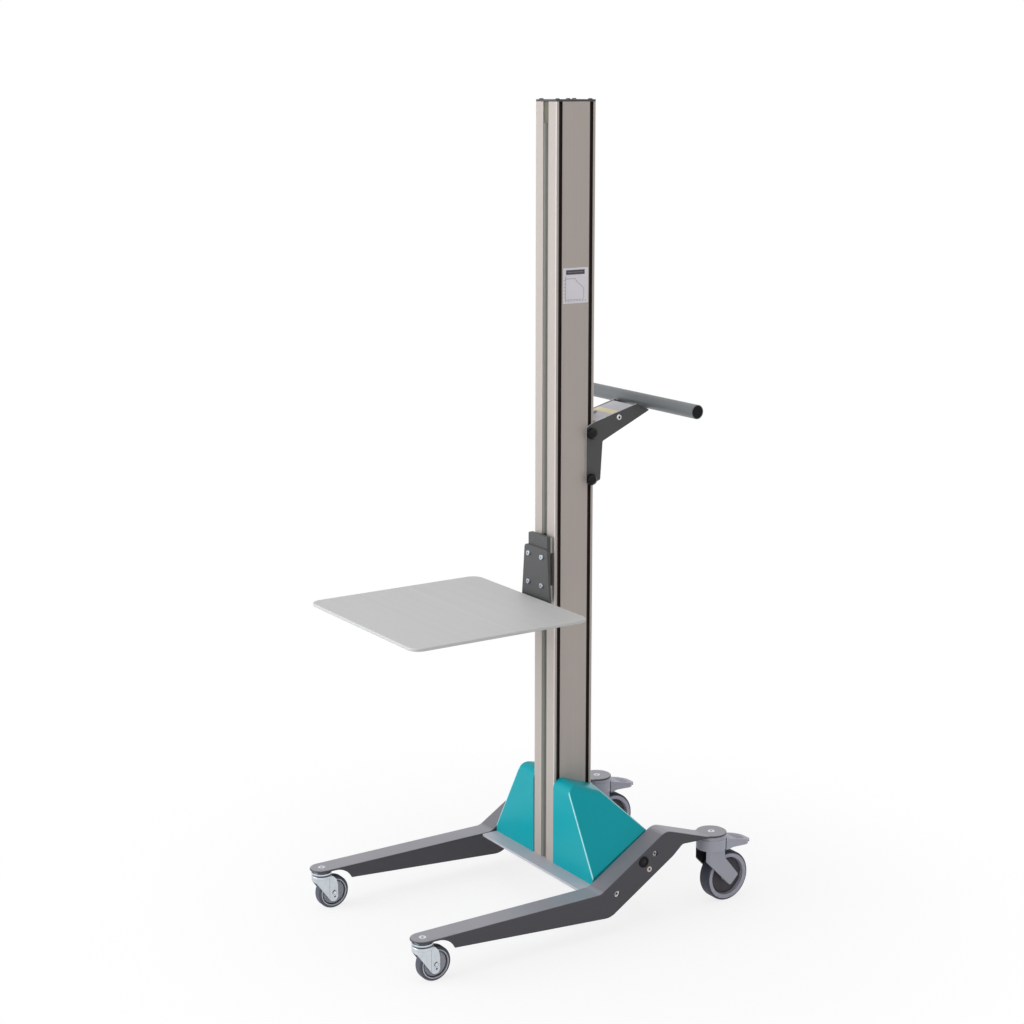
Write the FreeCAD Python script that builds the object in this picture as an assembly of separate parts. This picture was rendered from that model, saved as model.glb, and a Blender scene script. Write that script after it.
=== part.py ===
import FreeCAD, Part
import math
import os

Vector = FreeCAD.Vector

# Electric material lifter: two sheet-steel legs on four castors, an aluminium mast,
# a platform on a roller carriage that a toothed belt lifts, and a push handle.
# Millimetres. While it is built, x = y = 0 is the mast's centre and z = 0 the floor.
# The front is -y, +z is up, and left is +x, as seen by the operator behind the handle.

# Clearances
RUN = 0.05
SLIDE = 0.3
SEAT = 0.2

# Legs, pressed from sheet as an open channel
LEG_SHEET = 4.0
LEG_WIDTH = 58.0
LEG_CENTRE = 242.5
LEG_TOP = 108.0
LEG_BEND = 3.5
KINK_Y = -74.0
INCLINE_DEG = 31.8
APEX_Y = 117.5
DISC_TOP = 183.5
DISC_RADIUS = 38.0
DISC_EDGE = 2.0
DISC_BEND_Y = 247.0
FRONT_SWIVEL_Y = -549.0
REAR_SWIVEL_Y = 278.5
ARCH_RADIUS = 50.0
FLANGE_START_Y = -480.0
FLANGE_START_DEPTH = 32.0
FLANGE_KINK_Y = -47.0
FLANGE_KINK_DEPTH = 64.0
FLANGE_HEEL_Y = 138.0
FLANGE_TAIL_Y = 167.0
FLANGE_TAIL_Z = 183.0

# Base
BASE_TOP = 107.0
BASE_PLATE = 6.0
BASE_FRONT_Y = -100.0
CHEEK = 4.0
CHEEK_DROP = 13.0
CHEEK_ABOVE = 12.0
CHEEK_BELOW = 18.0
BOLT_FRONT_Y = -28.4
BOLT_FRONT_Z = 99.8
BOLT_REAR_Y = 84.2
BOLT_REAR_Z = 176.3
BOLT_RADIUS = 4.0
BOLT_HEAD_RADIUS = 6.5
BOLT_HEAD = 4.0
BOLT_HOLE_RADIUS = 7.5
BOLT_RECESS = 3.0
SOCKET_Y = 49.6
SOCKET_Z = 162.9
SOCKET_RADIUS = 9.0
LAMP_Y = 66.4
LAMP_Z = 141.2
LAMP_RADIUS = 4.5
COLLAR_WALL = 5.0
COLLAR_HEIGHT = 18.0

# Mast, an extruded profile
MAST_WIDTH = 86.0
MAST_DEPTH = 112.0
MAST_TOP = 1955.0
MAST_WALL = 4.0
MAST_FRONT_WALL = 6.0
MAST_CORNER = 2.5
TSLOT_Y = 43.5
TSLOT_MOUTH = 10.0
TSLOT_LIP = 3.0
TSLOT_CHAMBER = 17.0
TSLOT_DEPTH = 8.5
FRONT_SLOT = 22.0
GUIDE_RIB = 4.0
GUIDE_RIB_GAP = 26.0
CAP_PLATE = 5.0
CAP_SCREW_RADIUS = 3.0
CAP_SCREW_HEAD_RADIUS = 5.5
CAP_SCREW_HEAD = 2.5
CAP_SCREW_X = 33.0
CAP_SCREW_Y = 46.5

# Belt hoist
PULLEY_RADIUS = 21.0
PULLEY_TEETH = 22
TOOTH_DEPTH = 1.6
PULLEY_FLANGE = 24.5
PULLEY_FLANGE_T = 1.5
BELT_WIDTH = 16.0
BELT_T = 3.0
BELT_FRONT_Y = -14.5
DRIVE_RISE = 32.0
IDLER_DROP = 48.0
SHAFT_RADIUS = 6.0
BEARING_RADIUS = 11.0
YOKE_SHEET = 4.0
YOKE_DEPTH = 20.0
TENSION_SCREW_RADIUS = 4.0

# Carriage
ROLLER_WIDTH = 12.0
ROLLER_X = 14.5
ROLLER_AXLE_RADIUS = 5.0
CARRIAGE_WIDTH = 18.0
CARRIAGE_HEIGHT = 266.0
CARRIAGE_BELOW = 14.0
CARRIAGE_REAR_Y = -18.5
ROLLER_INSET = 32.0
NECK_HEIGHT = 164.0
NECK_WIDTH = 3.5
HEAD_WIDTH = 80.0
HEAD_GAP = 10.0
HEAD_PLATE = 10.0
GLIDE_HEIGHT = 36.0
GLIDE_WIDTH = 20.0
GLIDE_X = 24.0
CLAMP_HEIGHT = 30.0

# Platform
PLATFORM_WIDTH = 496.0
PLATFORM_DEPTH = 474.0
PLATFORM_GAP = 12.0
PLATFORM_TOP = 780.8
PLATFORM_T = 8.0
PLATFORM_CORNER = 30.0
PLATFORM_EDGE = 3.0
BRACKET_SHEET = 6.0
BRACKET_WIDTH = 120.0
BRACKET_HEIGHT = 120.0
BRACKET_SHELF_WIDTH = 260.0
BRACKET_SHELF = 96.0
ARM_WIDTH = 30.0
ARM_HEIGHT = 18.0
ARM_X = 105.0
ARM_LENGTH = 330.0
SCREW_RADIUS = 4.0
SCREW_HEAD_RADIUS = 6.5
SCREW_HEAD = 5.0

# Batteries
BATTERY_LENGTH = 151.0
BATTERY_WIDTH = 65.0
BATTERY_HEIGHT = 95.0
BATTERY_SIDE_X = 80.0
BATTERY_GAP = 2.0

# Cover
COVER_FRONT_Y = -58.0
COVER_WALL = 3.0
COVER_SIDE_X = 212.5
COVER_REAR_Y = 138.0
COVER_RIDGE_X = 216.0
COVER_RIDGE_Z = 119.0
COVER_TOP_Z = 333.0
COVER_TOP_FALL = 0.375
COVER_SPREAD = 0.324
COVER_LEAN = 0.559
COVER_HIP_SPREAD = 0.247
COVER_HIP_FALL = 0.895
COVER_SHOULDER = 24.0
COVER_RIDGE_ROUND = 3.0
PANEL_SCREW_RADIUS = 2.5
PANEL_SCREW_X = 170.0
PANEL_SCREW_RISE = 14.0
PANEL_SCREW_HIGH_X = 60.0
PANEL_SCREW_HIGH_RISE = 80.0

# Handle
HANDLE_SHEET = 4.0
HANDLE_Z = 1047.5
TUBE_RADIUS = 17.0
TUBE_WALL = 2.0
TUBE_LENGTH = 500.0
SADDLE_DEPTH = 1.5
PLUG_DEPTH = 14.0
BRACKET_FOOT_Y = 32.5
BRACKET_FOOT_RISE = 4.5
BRACKET_HEEL_Y = 49.5
BRACKET_BACK_Y = 73.4
BRACKET_BACK_RISE = 9.4
ELBOW_Y = 79.5
ELBOW_RISE = 102.7
ARM_END_Y = 219.5
ARM_END_RISE = 166.7
ARM_TOP_Y = 181.1
ARM_TOP_RISE = 184.8
SHOULDER_Y = 53.4
SHOULDER_RISE = 150.3
BRACKET_CROWN_RISE = 139.5
BUSH_Y = 128.0
BUSH_RISE = 156.3
PLUG_RECESS = 1.0
PANEL_DEPTH = 22.0
PANEL_RISE_DEG = 14.6
BUTTON_RADIUS = 8.0
BUTTON_PROUD = 3.5
BUTTON_STEM = 7.0
BUTTON_TRAVEL = 2.5
BUTTON_X = -22.0
KNOB_RADIUS = 13.5
KNOB_HEIGHT = 17.0
KNOB_STUD_RADIUS = 3.0
KNOB_LOW_Z = 13.5
KNOB_HIGH_Z = 125.0
TNUT_HEIGHT = 20.0

# Front castors
FRONT_WHEEL_RADIUS = 41.0
FRONT_WHEEL_WIDTH = 25.0
FRONT_TRAIL = 27.0
FRONT_TYRE = 7.0
FORK_SHEET = 2.5
FORK_GAP = 29.0
FORK_NARROW = 0.76
FORK_FRONT = 22.0
FORK_CREASE = 13.0
FORK_HOLE_RADIUS = 2.2
FORK_HOLE_Z = 31.0
AXLE_RING = 6.6
AXLE_RING_DEPTH = 0.8
FORK_HEAD_RADIUS = 25.0
FORK_HEAD_HEIGHT = 20.0
FORK_FOOT_Z = 20.0
FRONT_AXLE_RADIUS = 4.0
KINGPIN_RADIUS = 5.0
KINGPIN_HEAD_RADIUS = 8.8

# Rear castors
REAR_WHEEL_RADIUS = 62.5
REAR_WHEEL_WIDTH = 36.0
REAR_TRAIL = 41.0
REAR_TYRE = 5.0
REAR_WEB = 14.0
HOUSING_RADIUS = 36.8
HOUSING_SKIRT = 38.0
HOUSING_RING = 9.0
HOUSING_WALL = 4.5
ARM_PLATE = 9.0
ARM_GAP = 40.0
REAR_AXLE_RADIUS = 5.0
PEDAL_WIDTH = 54.0
PEDAL_REACH = 113.0
PEDAL_PIVOT_Y = 17.0
PEDAL_PIVOT_Z = 148.0
PEDAL_PIN_RADIUS = 3.0

# Places worked out from the sizes above
FRONT_END_Y = FRONT_SWIVEL_Y - LEG_WIDTH / 2
REAR_END_Y = REAR_SWIVEL_Y + PEDAL_REACH
ORIGIN_Y = (FRONT_END_Y + REAR_END_Y) / 2
SLOPE = math.tan(math.radians(INCLINE_DEG))
APEX_Z = LEG_TOP + (APEX_Y - KINK_Y) * SLOPE
LEG_INNER_X = LEG_CENTRE - LEG_WIDTH / 2
LEG_OUTER_X = LEG_CENTRE + LEG_WIDTH / 2
CAVITY_FRONT_Y = -MAST_DEPTH / 2 + MAST_FRONT_WALL
BELT_BACK = BELT_T / 2
PULLEY_Y = BELT_FRONT_Y + PULLEY_RADIUS
DRIVE_Z = BASE_TOP + DRIVE_RISE
IDLER_Z = MAST_TOP - IDLER_DROP
RIB_FRONT_Y = -8.0
ROLLER_RADIUS = (RIB_FRONT_Y - CAVITY_FRONT_Y) / 2 - SLIDE
ROLLER_Y = (RIB_FRONT_Y + CAVITY_FRONT_Y) / 2
CARRIAGE_Z = PLATFORM_TOP - CARRIAGE_BELOW
HEAD_REAR_Y = -MAST_DEPTH / 2 - HEAD_GAP
HEAD_FRONT_Y = HEAD_REAR_Y - HEAD_PLATE
BRACKET_FRONT_Y = HEAD_FRONT_Y - BRACKET_SHEET
PLATFORM_REAR_Y = BRACKET_FRONT_Y - PLATFORM_GAP
PLATFORM_FRONT_Y = PLATFORM_REAR_Y - PLATFORM_DEPTH
SHELF_TOP = PLATFORM_TOP - PLATFORM_T
HANDLE_X = MAST_WIDTH / 2 + SLIDE


def box(x0, x1, y0, y1, z0, z1):
    return Part.makeBox(x1 - x0, y1 - y0, z1 - z0, Vector(x0, y0, z0))


def rod_x(x0, x1, y, z, radius):
    return Part.makeCylinder(radius, x1 - x0, Vector(x0, y, z), Vector(1, 0, 0))


def rod_y(y0, y1, x, z, radius):
    return Part.makeCylinder(radius, y1 - y0, Vector(x, y0, z), Vector(0, 1, 0))


def rod_z(z0, z1, x, y, radius):
    return Part.makeCylinder(radius, z1 - z0, Vector(x, y, z0), Vector(0, 0, 1))


def outline(corners, place):
    """Face inside corners (a, b, radius): straight runs joined by tangent arcs."""
    legs = []
    count = len(corners)
    for i in range(count):
        a, b, radius = corners[i]
        here = Vector(a, b, 0)
        back = Vector(corners[i - 1][0], corners[i - 1][1], 0) - here
        ahead = Vector(corners[(i + 1) % count][0], corners[(i + 1) % count][1], 0) - here
        back.normalize()
        ahead.normalize()
        half = back.getAngle(ahead) / 2
        if radius == 0:
            legs.append((here, here, here))
            continue
        run = radius / math.tan(half)
        middle = back + ahead
        middle.normalize()
        crest = here + middle * (radius / math.sin(half) - radius)
        legs.append((here + back * run, crest, here + ahead * run))
    edges = []
    for i in range(count):
        start, crest, end = [place(p.x, p.y) for p in legs[i]]
        if start.distanceToPoint(end) > 1e-6:
            edges.append(Part.Arc(start, crest, end).toShape())
        following = place(legs[(i + 1) % count][0].x, legs[(i + 1) % count][0].y)
        if end.distanceToPoint(following) > 1e-6:
            edges.append(Part.LineSegment(end, following).toShape())
    return Part.Face(Part.Wire(edges))


def prism_x(corners, x0, x1):
    face = outline(corners, lambda y, z: Vector(x0, y, z))
    return face.extrude(Vector(x1 - x0, 0, 0))


def prism_y(corners, y0, y1):
    face = outline(corners, lambda x, z: Vector(x, y0, z))
    return face.extrude(Vector(0, y1 - y0, 0))


def prism_z(corners, z0, z1):
    face = outline(corners, lambda x, y: Vector(x, y, z0))
    return face.extrude(Vector(0, 0, z1 - z0))


def turned_x(profile, x, y, z):
    """Solid of revolution about an axle along x; profile holds (x, radius, rounding)."""
    face = outline(profile, lambda a, r: Vector(x + a, y, z + r))
    return face.revolve(Vector(x, y, z), Vector(1, 0, 0), 360)


def turned_z(profile, x, y):
    """Solid of revolution about an upright axis; profile holds (radius, z, rounding)."""
    face = outline(profile, lambda r, h: Vector(x + r, y, h))
    return face.revolve(Vector(x, y, 0), Vector(0, 0, 1), 360)


def joined(shapes):
    """One solid, with the seams between faces that lie in one surface removed."""
    return shapes[0].fuse(shapes[1:]).removeSplitter()


def mirrored(shape):
    return shape.mirror(Vector(0, 0, 0), Vector(1, 0, 0))


def beyond(point, normal, reach=3000.0):
    """Large block that fills the side of a plane that its normal points to."""
    block = Part.makeBox(reach, reach, reach, Vector(-reach / 2, -reach / 2, 0))
    turn = FreeCAD.Rotation(Vector(0, 0, 1), normal)
    block.Placement = FreeCAD.Placement(point, turn)
    return block


def save(name, *shapes):
    """Write one node, moved so that the origin is on the floor below the middle."""
    solids = [solid for shape in shapes for solid in shape.Solids]
    node = solids[0] if len(solids) == 1 else Part.makeCompound(solids)
    node = node.copy()
    node.translate(Vector(0, -ORIGIN_Y, 0))
    if not node.isValid():
        raise ValueError("invalid shape: " + name)
    node.exportStep("parts/" + name + ".step")


def top_line(drop):
    """Upper line of the leg, from front tip to rear disc, lowered square to itself."""
    incline = math.radians(INCLINE_DEG)
    fall = math.atan2(APEX_Z - DISC_TOP, DISC_BEND_Y - APEX_Y)
    kink = KINK_Y + drop * math.tan(incline / 2)
    bend = DISC_BEND_Y - drop * math.tan(fall / 2)
    apex_y = APEX_Y + drop * math.sin(fall / 2 - incline / 2) / math.cos((fall + incline) / 2)
    apex_z = APEX_Z - drop * math.cos(fall / 2 - incline / 2) / math.cos((fall + incline) / 2)
    return [
        (FRONT_END_Y, LEG_TOP - drop, 0),
        (kink, LEG_TOP - drop, 30 + drop),
        (apex_y, apex_z, 34 - drop),
        (bend, DISC_TOP - drop, 26 + drop),
        (REAR_SWIVEL_Y + DISC_RADIUS, DISC_TOP - drop, 0),
    ]


def leg_side():
    """Side view of a leg: the sheet's upper line and the flange's lower edge."""
    heel_z = LEG_TOP - FLANGE_KINK_DEPTH + (FLANGE_HEEL_Y - FLANGE_KINK_Y) * SLOPE
    lower = [
        (REAR_SWIVEL_Y + DISC_RADIUS, DISC_TOP - LEG_SHEET, 0),
        (DISC_BEND_Y - 4, DISC_TOP - LEG_SHEET, 0),
        (FLANGE_TAIL_Y, FLANGE_TAIL_Z, 12),
        (FLANGE_HEEL_Y, heel_z, 20),
        (FLANGE_KINK_Y, LEG_TOP - FLANGE_KINK_DEPTH, 45),
        (FLANGE_START_Y, LEG_TOP - FLANGE_START_DEPTH, 4),
        (arch_centre()[0], LEG_TOP - LEG_SHEET, 0),
        (FRONT_END_Y, LEG_TOP - LEG_SHEET, 0),
    ]
    return top_line(0) + lower


def arch_centre():
    """Centre, in side view, of the arch over a front castor."""
    z = LEG_TOP - LEG_SHEET - ARCH_RADIUS
    rise = LEG_TOP - FLANGE_START_DEPTH - z
    return FLANGE_START_Y - math.sqrt(ARCH_RADIUS ** 2 - rise ** 2), z


def leg():
    """Open channel of bent sheet, with a round tip in front and a disc behind."""
    x0 = LEG_INNER_X
    x1 = LEG_OUTER_X
    below = LEG_TOP - 200
    side = prism_x(leg_side(), x0 - 20, x1 + 20)
    side = side.cut(rod_x(x0 - 20, x1 + 20, *arch_centre(), ARCH_RADIUS))
    half = LEG_WIDTH / 2
    strip = box(x0, x1, FRONT_SWIVEL_Y, REAR_SWIVEL_Y, below, 400)
    tip = rod_z(below, 400, LEG_CENTRE, FRONT_SWIVEL_Y, half)
    shell = side.common(joined([strip, tip]))
    shell = shell.makeFillet(LEG_BEND, [e for e in shell.Edges if leg_bend_edge(e)])
    disc = rod_z(DISC_TOP - LEG_SHEET, DISC_TOP, LEG_CENTRE, REAR_SWIVEL_Y, DISC_RADIUS)
    disc = disc.makeFillet(DISC_EDGE, [e for e in disc.Edges if e.BoundBox.ZMin > DISC_TOP - 0.1])
    room = top_line(LEG_SHEET)[1:-1]
    room = [(FRONT_END_Y - 10, LEG_TOP - LEG_SHEET, 0)] + room
    room = room + [(REAR_SWIVEL_Y + 80, DISC_TOP - LEG_SHEET, 0), (REAR_SWIVEL_Y + 80, -20, 0)]
    room = room + [(FRONT_END_Y - 10, -20, 0)]
    channel = shell.cut(prism_x(room, x0 + LEG_SHEET, x1 - LEG_SHEET)).fuse(disc)
    parts = [channel] + [leg_spacer(y, z) for y, z in bolt_places()]
    body = joined(parts)
    for y, z in bolt_places():
        body = body.cut(rod_x(x1 - LEG_SHEET - 1, x1 + 1, y, z, BOLT_HOLE_RADIUS))
        body = body.cut(rod_x(x0 - 1, x1 + 1, y, z, BOLT_RADIUS + SEAT))
    body = body.cut(kingpin_hole(FRONT_SWIVEL_Y, LEG_TOP))
    return body.cut(kingpin_hole(REAR_SWIVEL_Y, DISC_TOP))


def leg_bend_edge(edge):
    """True for the long upper edges, where the sheet bends down into a flange."""
    middle = edge.valueAt((edge.FirstParameter + edge.LastParameter) / 2)
    box_y = edge.BoundBox
    if box_y.XLength > 0.1 or box_y.YMin < FRONT_SWIVEL_Y - 1 or box_y.YMax > DISC_BEND_Y + 12:
        return False
    at_side = min(abs(middle.x - LEG_INNER_X), abs(middle.x - LEG_OUTER_X)) < 0.1
    return at_side and middle.z > upper_z(middle.y) - 1.5


def upper_z(y):
    """Height of the leg's unrounded upper line at y."""
    if y < KINK_Y:
        return LEG_TOP
    if y < APEX_Y:
        return LEG_TOP + (y - KINK_Y) * SLOPE - 3
    fall = (APEX_Z - DISC_TOP) / (DISC_BEND_Y - APEX_Y)
    return max(DISC_TOP, APEX_Z - (y - APEX_Y) * fall - 3)


def bolt_places():
    return [(BOLT_FRONT_Y, BOLT_FRONT_Z), (BOLT_REAR_Y, BOLT_REAR_Z)]


def leg_spacer(y, z):
    """Tube welded in the channel, which the recessed bolt head pulls against."""
    x1 = LEG_OUTER_X - BOLT_RECESS - BOLT_HEAD
    return rod_x(LEG_INNER_X + LEG_SHEET, x1, y, z, BOLT_HOLE_RADIUS)


def kingpin_hole(y, top):
    """Countersunk hole for a castor's king pin."""
    sink = turned_z(
        [(0, top + 1, 0), (KINGPIN_HEAD_RADIUS + 0.1, top + 1, 0), (KINGPIN_HEAD_RADIUS + 0.1, top - 0.4, 0),
         (KINGPIN_RADIUS + 0.1, top - LEG_SHEET + 0.2, 0), (KINGPIN_RADIUS + 0.1, top - 20, 0), (0, top - 20, 0)],
        LEG_CENTRE, y)
    return sink


def leg_bolts():
    """Recessed bolts that hold the legs to the base, two in each leg."""
    head_x = LEG_OUTER_X - BOLT_RECESS
    bolts = []
    for y, z in bolt_places():
        head = rod_x(head_x - BOLT_HEAD, head_x, y, z, BOLT_HEAD_RADIUS)
        shank = rod_x(LEG_INNER_X - CHEEK - 6, head_x - BOLT_HEAD, y, z, BOLT_RADIUS)
        key = rod_x(head_x - 2, head_x + 1, y, z, 3)
        bolts.append(joined([head, shank]).cut(key))
    return bolts + [mirrored(bolt) for bolt in bolts]


def flange_y(z):
    """Where the leg's lower edge passes height z on the incline."""
    return FLANGE_KINK_Y + (z - LEG_TOP + FLANGE_KINK_DEPTH) / SLOPE


def cheek_top():
    """Upper line of a cheek, which follows the leg: its front end and its crest."""
    front_y = COVER_FRONT_Y + COVER_WALL + 2
    crest_z = BOLT_REAR_Z + CHEEK_ABOVE
    front = (front_y, LEG_TOP + (front_y - KINK_Y) * SLOPE - CHEEK_DROP)
    return front, (KINK_Y + (crest_z + CHEEK_DROP - LEG_TOP) / SLOPE, crest_z)


def base_frame():
    """Base plate with the mast's collar and two side cheeks that follow the legs."""
    x0 = LEG_INNER_X
    under = BASE_TOP - BASE_PLATE
    plate = box(-x0, x0, BASE_FRONT_Y, COVER_REAR_Y, under, BASE_TOP)
    rear = COVER_REAR_Y - COVER_WALL - SEAT
    front, crest = cheek_top()
    low = under - CHEEK_BELOW
    cheek = [
        (front[0], low, 0),
        (front[0], front[1], 0),
        (crest[0], crest[1], 8),
        (rear - 34, crest[1], 8),
        (rear, BASE_TOP + 30, 0),
        (rear, under, 0),
        (flange_y(under), under, 0),
        (flange_y(low), low, 0),
    ]
    side = prism_x(cheek, x0 - CHEEK, x0)
    for y, z in bolt_places():
        side = side.cut(rod_x(x0 - CHEEK - 1, x0 + 1, y, z, BOLT_RADIUS + SEAT))
        plate = plate.cut(rod_x(x0 - CHEEK - 9, x0 + 1, y, z, BOLT_RADIUS + 2))
        plate = plate.cut(rod_x(-x0 - 1, -x0 + CHEEK + 9, y, z, BOLT_RADIUS + 2))
    return joined([plate, side, mirrored(side), mast_foot()])


def mast_foot():
    """Collar that holds the mast on the base plate."""
    wide = MAST_WIDTH / 2 + COLLAR_WALL
    front = -MAST_DEPTH / 2 + 8
    rear = MAST_DEPTH / 2 + COLLAR_WALL
    top = BASE_TOP + COLLAR_HEIGHT
    collar = box(-wide, wide, front, rear, BASE_TOP, top)
    room = box(-MAST_WIDTH / 2, MAST_WIDTH / 2, front - 1, MAST_DEPTH / 2, BASE_TOP - 1, top + 1)
    return collar.cut(room)


def mast_section():
    """Outline of the profile's solid stock, before its slots and hollows."""
    x = MAST_WIDTH / 2
    y = MAST_DEPTH / 2
    r = MAST_CORNER
    return [(-x, -y, r), (x, -y, r), (x, y, r), (-x, y, r)]


def mast_profile():
    """Hollow profile: front slot, four T slots, and two ribs that guide the rollers."""
    z0 = BASE_TOP
    z1 = MAST_TOP
    x = MAST_WIDTH / 2
    rear = MAST_DEPTH / 2 - MAST_WALL
    slot_x = x - TSLOT_LIP - TSLOT_DEPTH + TSLOT_LIP
    narrow = slot_x - MAST_WALL
    wide = x - MAST_WALL
    near = TSLOT_Y - TSLOT_CHAMBER / 2 - MAST_WALL
    hollow = joined([
        box(-narrow, narrow, CAVITY_FRONT_Y, rear, z0 - 1, z1 + 1),
        box(-wide, wide, -near, near, z0 - 1, z1 + 1),
        box(-FRONT_SLOT / 2, FRONT_SLOT / 2, -MAST_DEPTH / 2 - 1, CAVITY_FRONT_Y + 1, z0 - 1, z1 + 1),
    ])
    rib = box(GUIDE_RIB_GAP / 2, wide + 1, RIB_FRONT_Y, RIB_FRONT_Y + GUIDE_RIB, z0, z1)
    hollow = hollow.cut(joined([rib, mirrored(rib)]))
    body = prism_z(mast_section(), z0, z1).cut(hollow)
    for side in (-1, 1):
        for y in (-TSLOT_Y, TSLOT_Y):
            mouth = sorted((side * (x - TSLOT_LIP - 1), side * (x + 1)))
            chamber = sorted((side * slot_x, side * (x - TSLOT_LIP)))
            body = body.cut(box(mouth[0], mouth[1], y - TSLOT_MOUTH / 2, y + TSLOT_MOUTH / 2, z0 - 1, z1 + 1))
            body = body.cut(
                box(chamber[0], chamber[1], y - TSLOT_CHAMBER / 2, y + TSLOT_CHAMBER / 2, z0 - 1, z1 + 1))
    return body.cut(rod_x(-x - 1, x + 1, PULLEY_Y, DRIVE_Z, BEARING_RADIUS)).removeSplitter()


def mast_cap():
    """Thin plate that closes the mast, with holes for its screws."""
    cap = prism_z(mast_section(), MAST_TOP, MAST_TOP + CAP_PLATE)
    for x, y in cap_screw_places():
        cap = cap.cut(rod_z(MAST_TOP - 1, MAST_TOP + CAP_PLATE + 1, x, y, CAP_SCREW_RADIUS + SEAT / 2))
    return cap.cut(rod_z(MAST_TOP - 1, MAST_TOP + CAP_PLATE + 1, 0, PULLEY_Y, TENSION_SCREW_RADIUS + SEAT / 2))


def cap_screw_places():
    return [(x, y) for x in (-CAP_SCREW_X, CAP_SCREW_X) for y in (-CAP_SCREW_Y, CAP_SCREW_Y)]


def mast_cap_screws():
    """Four low round heads in the cap's corners, and the belt's tension screw."""
    top = MAST_TOP + CAP_PLATE
    screws = []
    for x, y in cap_screw_places():
        screws.append(turned_z([(0, top + CAP_SCREW_HEAD, 0), (CAP_SCREW_HEAD_RADIUS - 2, top + CAP_SCREW_HEAD, 0),
                                (CAP_SCREW_HEAD_RADIUS, top, 0), (CAP_SCREW_RADIUS, top, 0),
                                (CAP_SCREW_RADIUS, MAST_TOP, 0), (0, MAST_TOP, 0)], x, y))
    yoke_top = IDLER_Z + PULLEY_FLANGE + 4
    screws.append(turned_z([(0, top + 1.5, 0), (CAP_SCREW_HEAD_RADIUS, top + 1.5, 0),
                            (CAP_SCREW_HEAD_RADIUS, top, 0), (TENSION_SCREW_RADIUS, top, 0),
                            (TENSION_SCREW_RADIUS, yoke_top, 0), (0, yoke_top, 0)], 0, PULLEY_Y))
    return screws


def idler_yoke():
    """Bent strap that carries the top pulley and hangs from the tension screw."""
    inner = BELT_WIDTH / 2 + PULLEY_FLANGE_T + 1.5
    outer = inner + YOKE_SHEET
    low = IDLER_Z - YOKE_DEPTH / 2
    top = IDLER_Z + PULLEY_FLANGE + 4 + YOKE_SHEET
    y0 = RIB_FRONT_Y + GUIDE_RIB + 1
    y1 = 2 * PULLEY_Y - y0
    strap = box(-outer, outer, y0, y1, low, top).cut(box(-inner, inner, y0 - 1, y1 + 1, low - 1, top - YOKE_SHEET))
    strap = strap.cut(rod_x(-outer - 1, outer + 1, PULLEY_Y, IDLER_Z, SHAFT_RADIUS + RUN))
    return strap.cut(rod_z(top - YOKE_SHEET - 1, top + 1, 0, PULLEY_Y, TENSION_SCREW_RADIUS))


def pulley(z):
    """Toothed pulley with two flanges."""
    half = BELT_WIDTH / 2
    outer = PULLEY_RADIUS - BELT_BACK - SLIDE
    wheel = rod_x(-half, half, PULLEY_Y, z, outer)
    pitch = 2 * math.pi / PULLEY_TEETH
    gaps = []
    for i in range(PULLEY_TEETH):
        y = PULLEY_Y + outer * math.cos(i * pitch)
        gaps.append(rod_x(-half, half, y, z + outer * math.sin(i * pitch), TOOTH_DEPTH))
    wheel = wheel.cut(gaps)
    flanges = [
        rod_x(half, half + PULLEY_FLANGE_T, PULLEY_Y, z, PULLEY_FLANGE),
        rod_x(-half - PULLEY_FLANGE_T, -half, PULLEY_Y, z, PULLEY_FLANGE),
    ]
    return joined([wheel] + flanges)


def drive_pulley():
    """Lower pulley and the shaft that the gearbox turns."""
    shaft = rod_x(-MAST_WIDTH / 2 + 1, MAST_WIDTH / 2 + 12, PULLEY_Y, DRIVE_Z, SHAFT_RADIUS)
    return joined([pulley(DRIVE_Z), shaft])


def idler_pulley():
    """Upper pulley on its own short axle."""
    reach = BELT_WIDTH / 2 + PULLEY_FLANGE_T + 1.5 + YOKE_SHEET
    return joined([pulley(IDLER_Z), rod_x(-reach, reach, PULLEY_Y, IDLER_Z, SHAFT_RADIUS)])


def drive_bearings():
    """Two bushes that carry the drive shaft in the mast's side walls."""
    x = MAST_WIDTH / 2
    bush = rod_x(x - MAST_WALL - 3, x, PULLEY_Y, DRIVE_Z, BEARING_RADIUS)
    bush = bush.cut(rod_x(x - MAST_WALL - 4, x + 1, PULLEY_Y, DRIVE_Z, SHAFT_RADIUS + RUN))
    return [bush, mirrored(bush)]


def drive_belt():
    """Closed belt round both pulleys; the carriage clamp grips its front run."""
    half = BELT_WIDTH / 2
    shapes = []
    for radius in (PULLEY_RADIUS + BELT_BACK, PULLEY_RADIUS - BELT_BACK):
        loop = joined([
            rod_x(-half + 0.3, half - 0.3, PULLEY_Y, DRIVE_Z, radius),
            rod_x(-half + 0.3, half - 0.3, PULLEY_Y, IDLER_Z, radius),
            box(-half + 0.3, half - 0.3, PULLEY_Y - radius, PULLEY_Y + radius, DRIVE_Z, IDLER_Z),
        ])
        shapes.append(loop)
    return shapes[0].cut(shapes[1])


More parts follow.
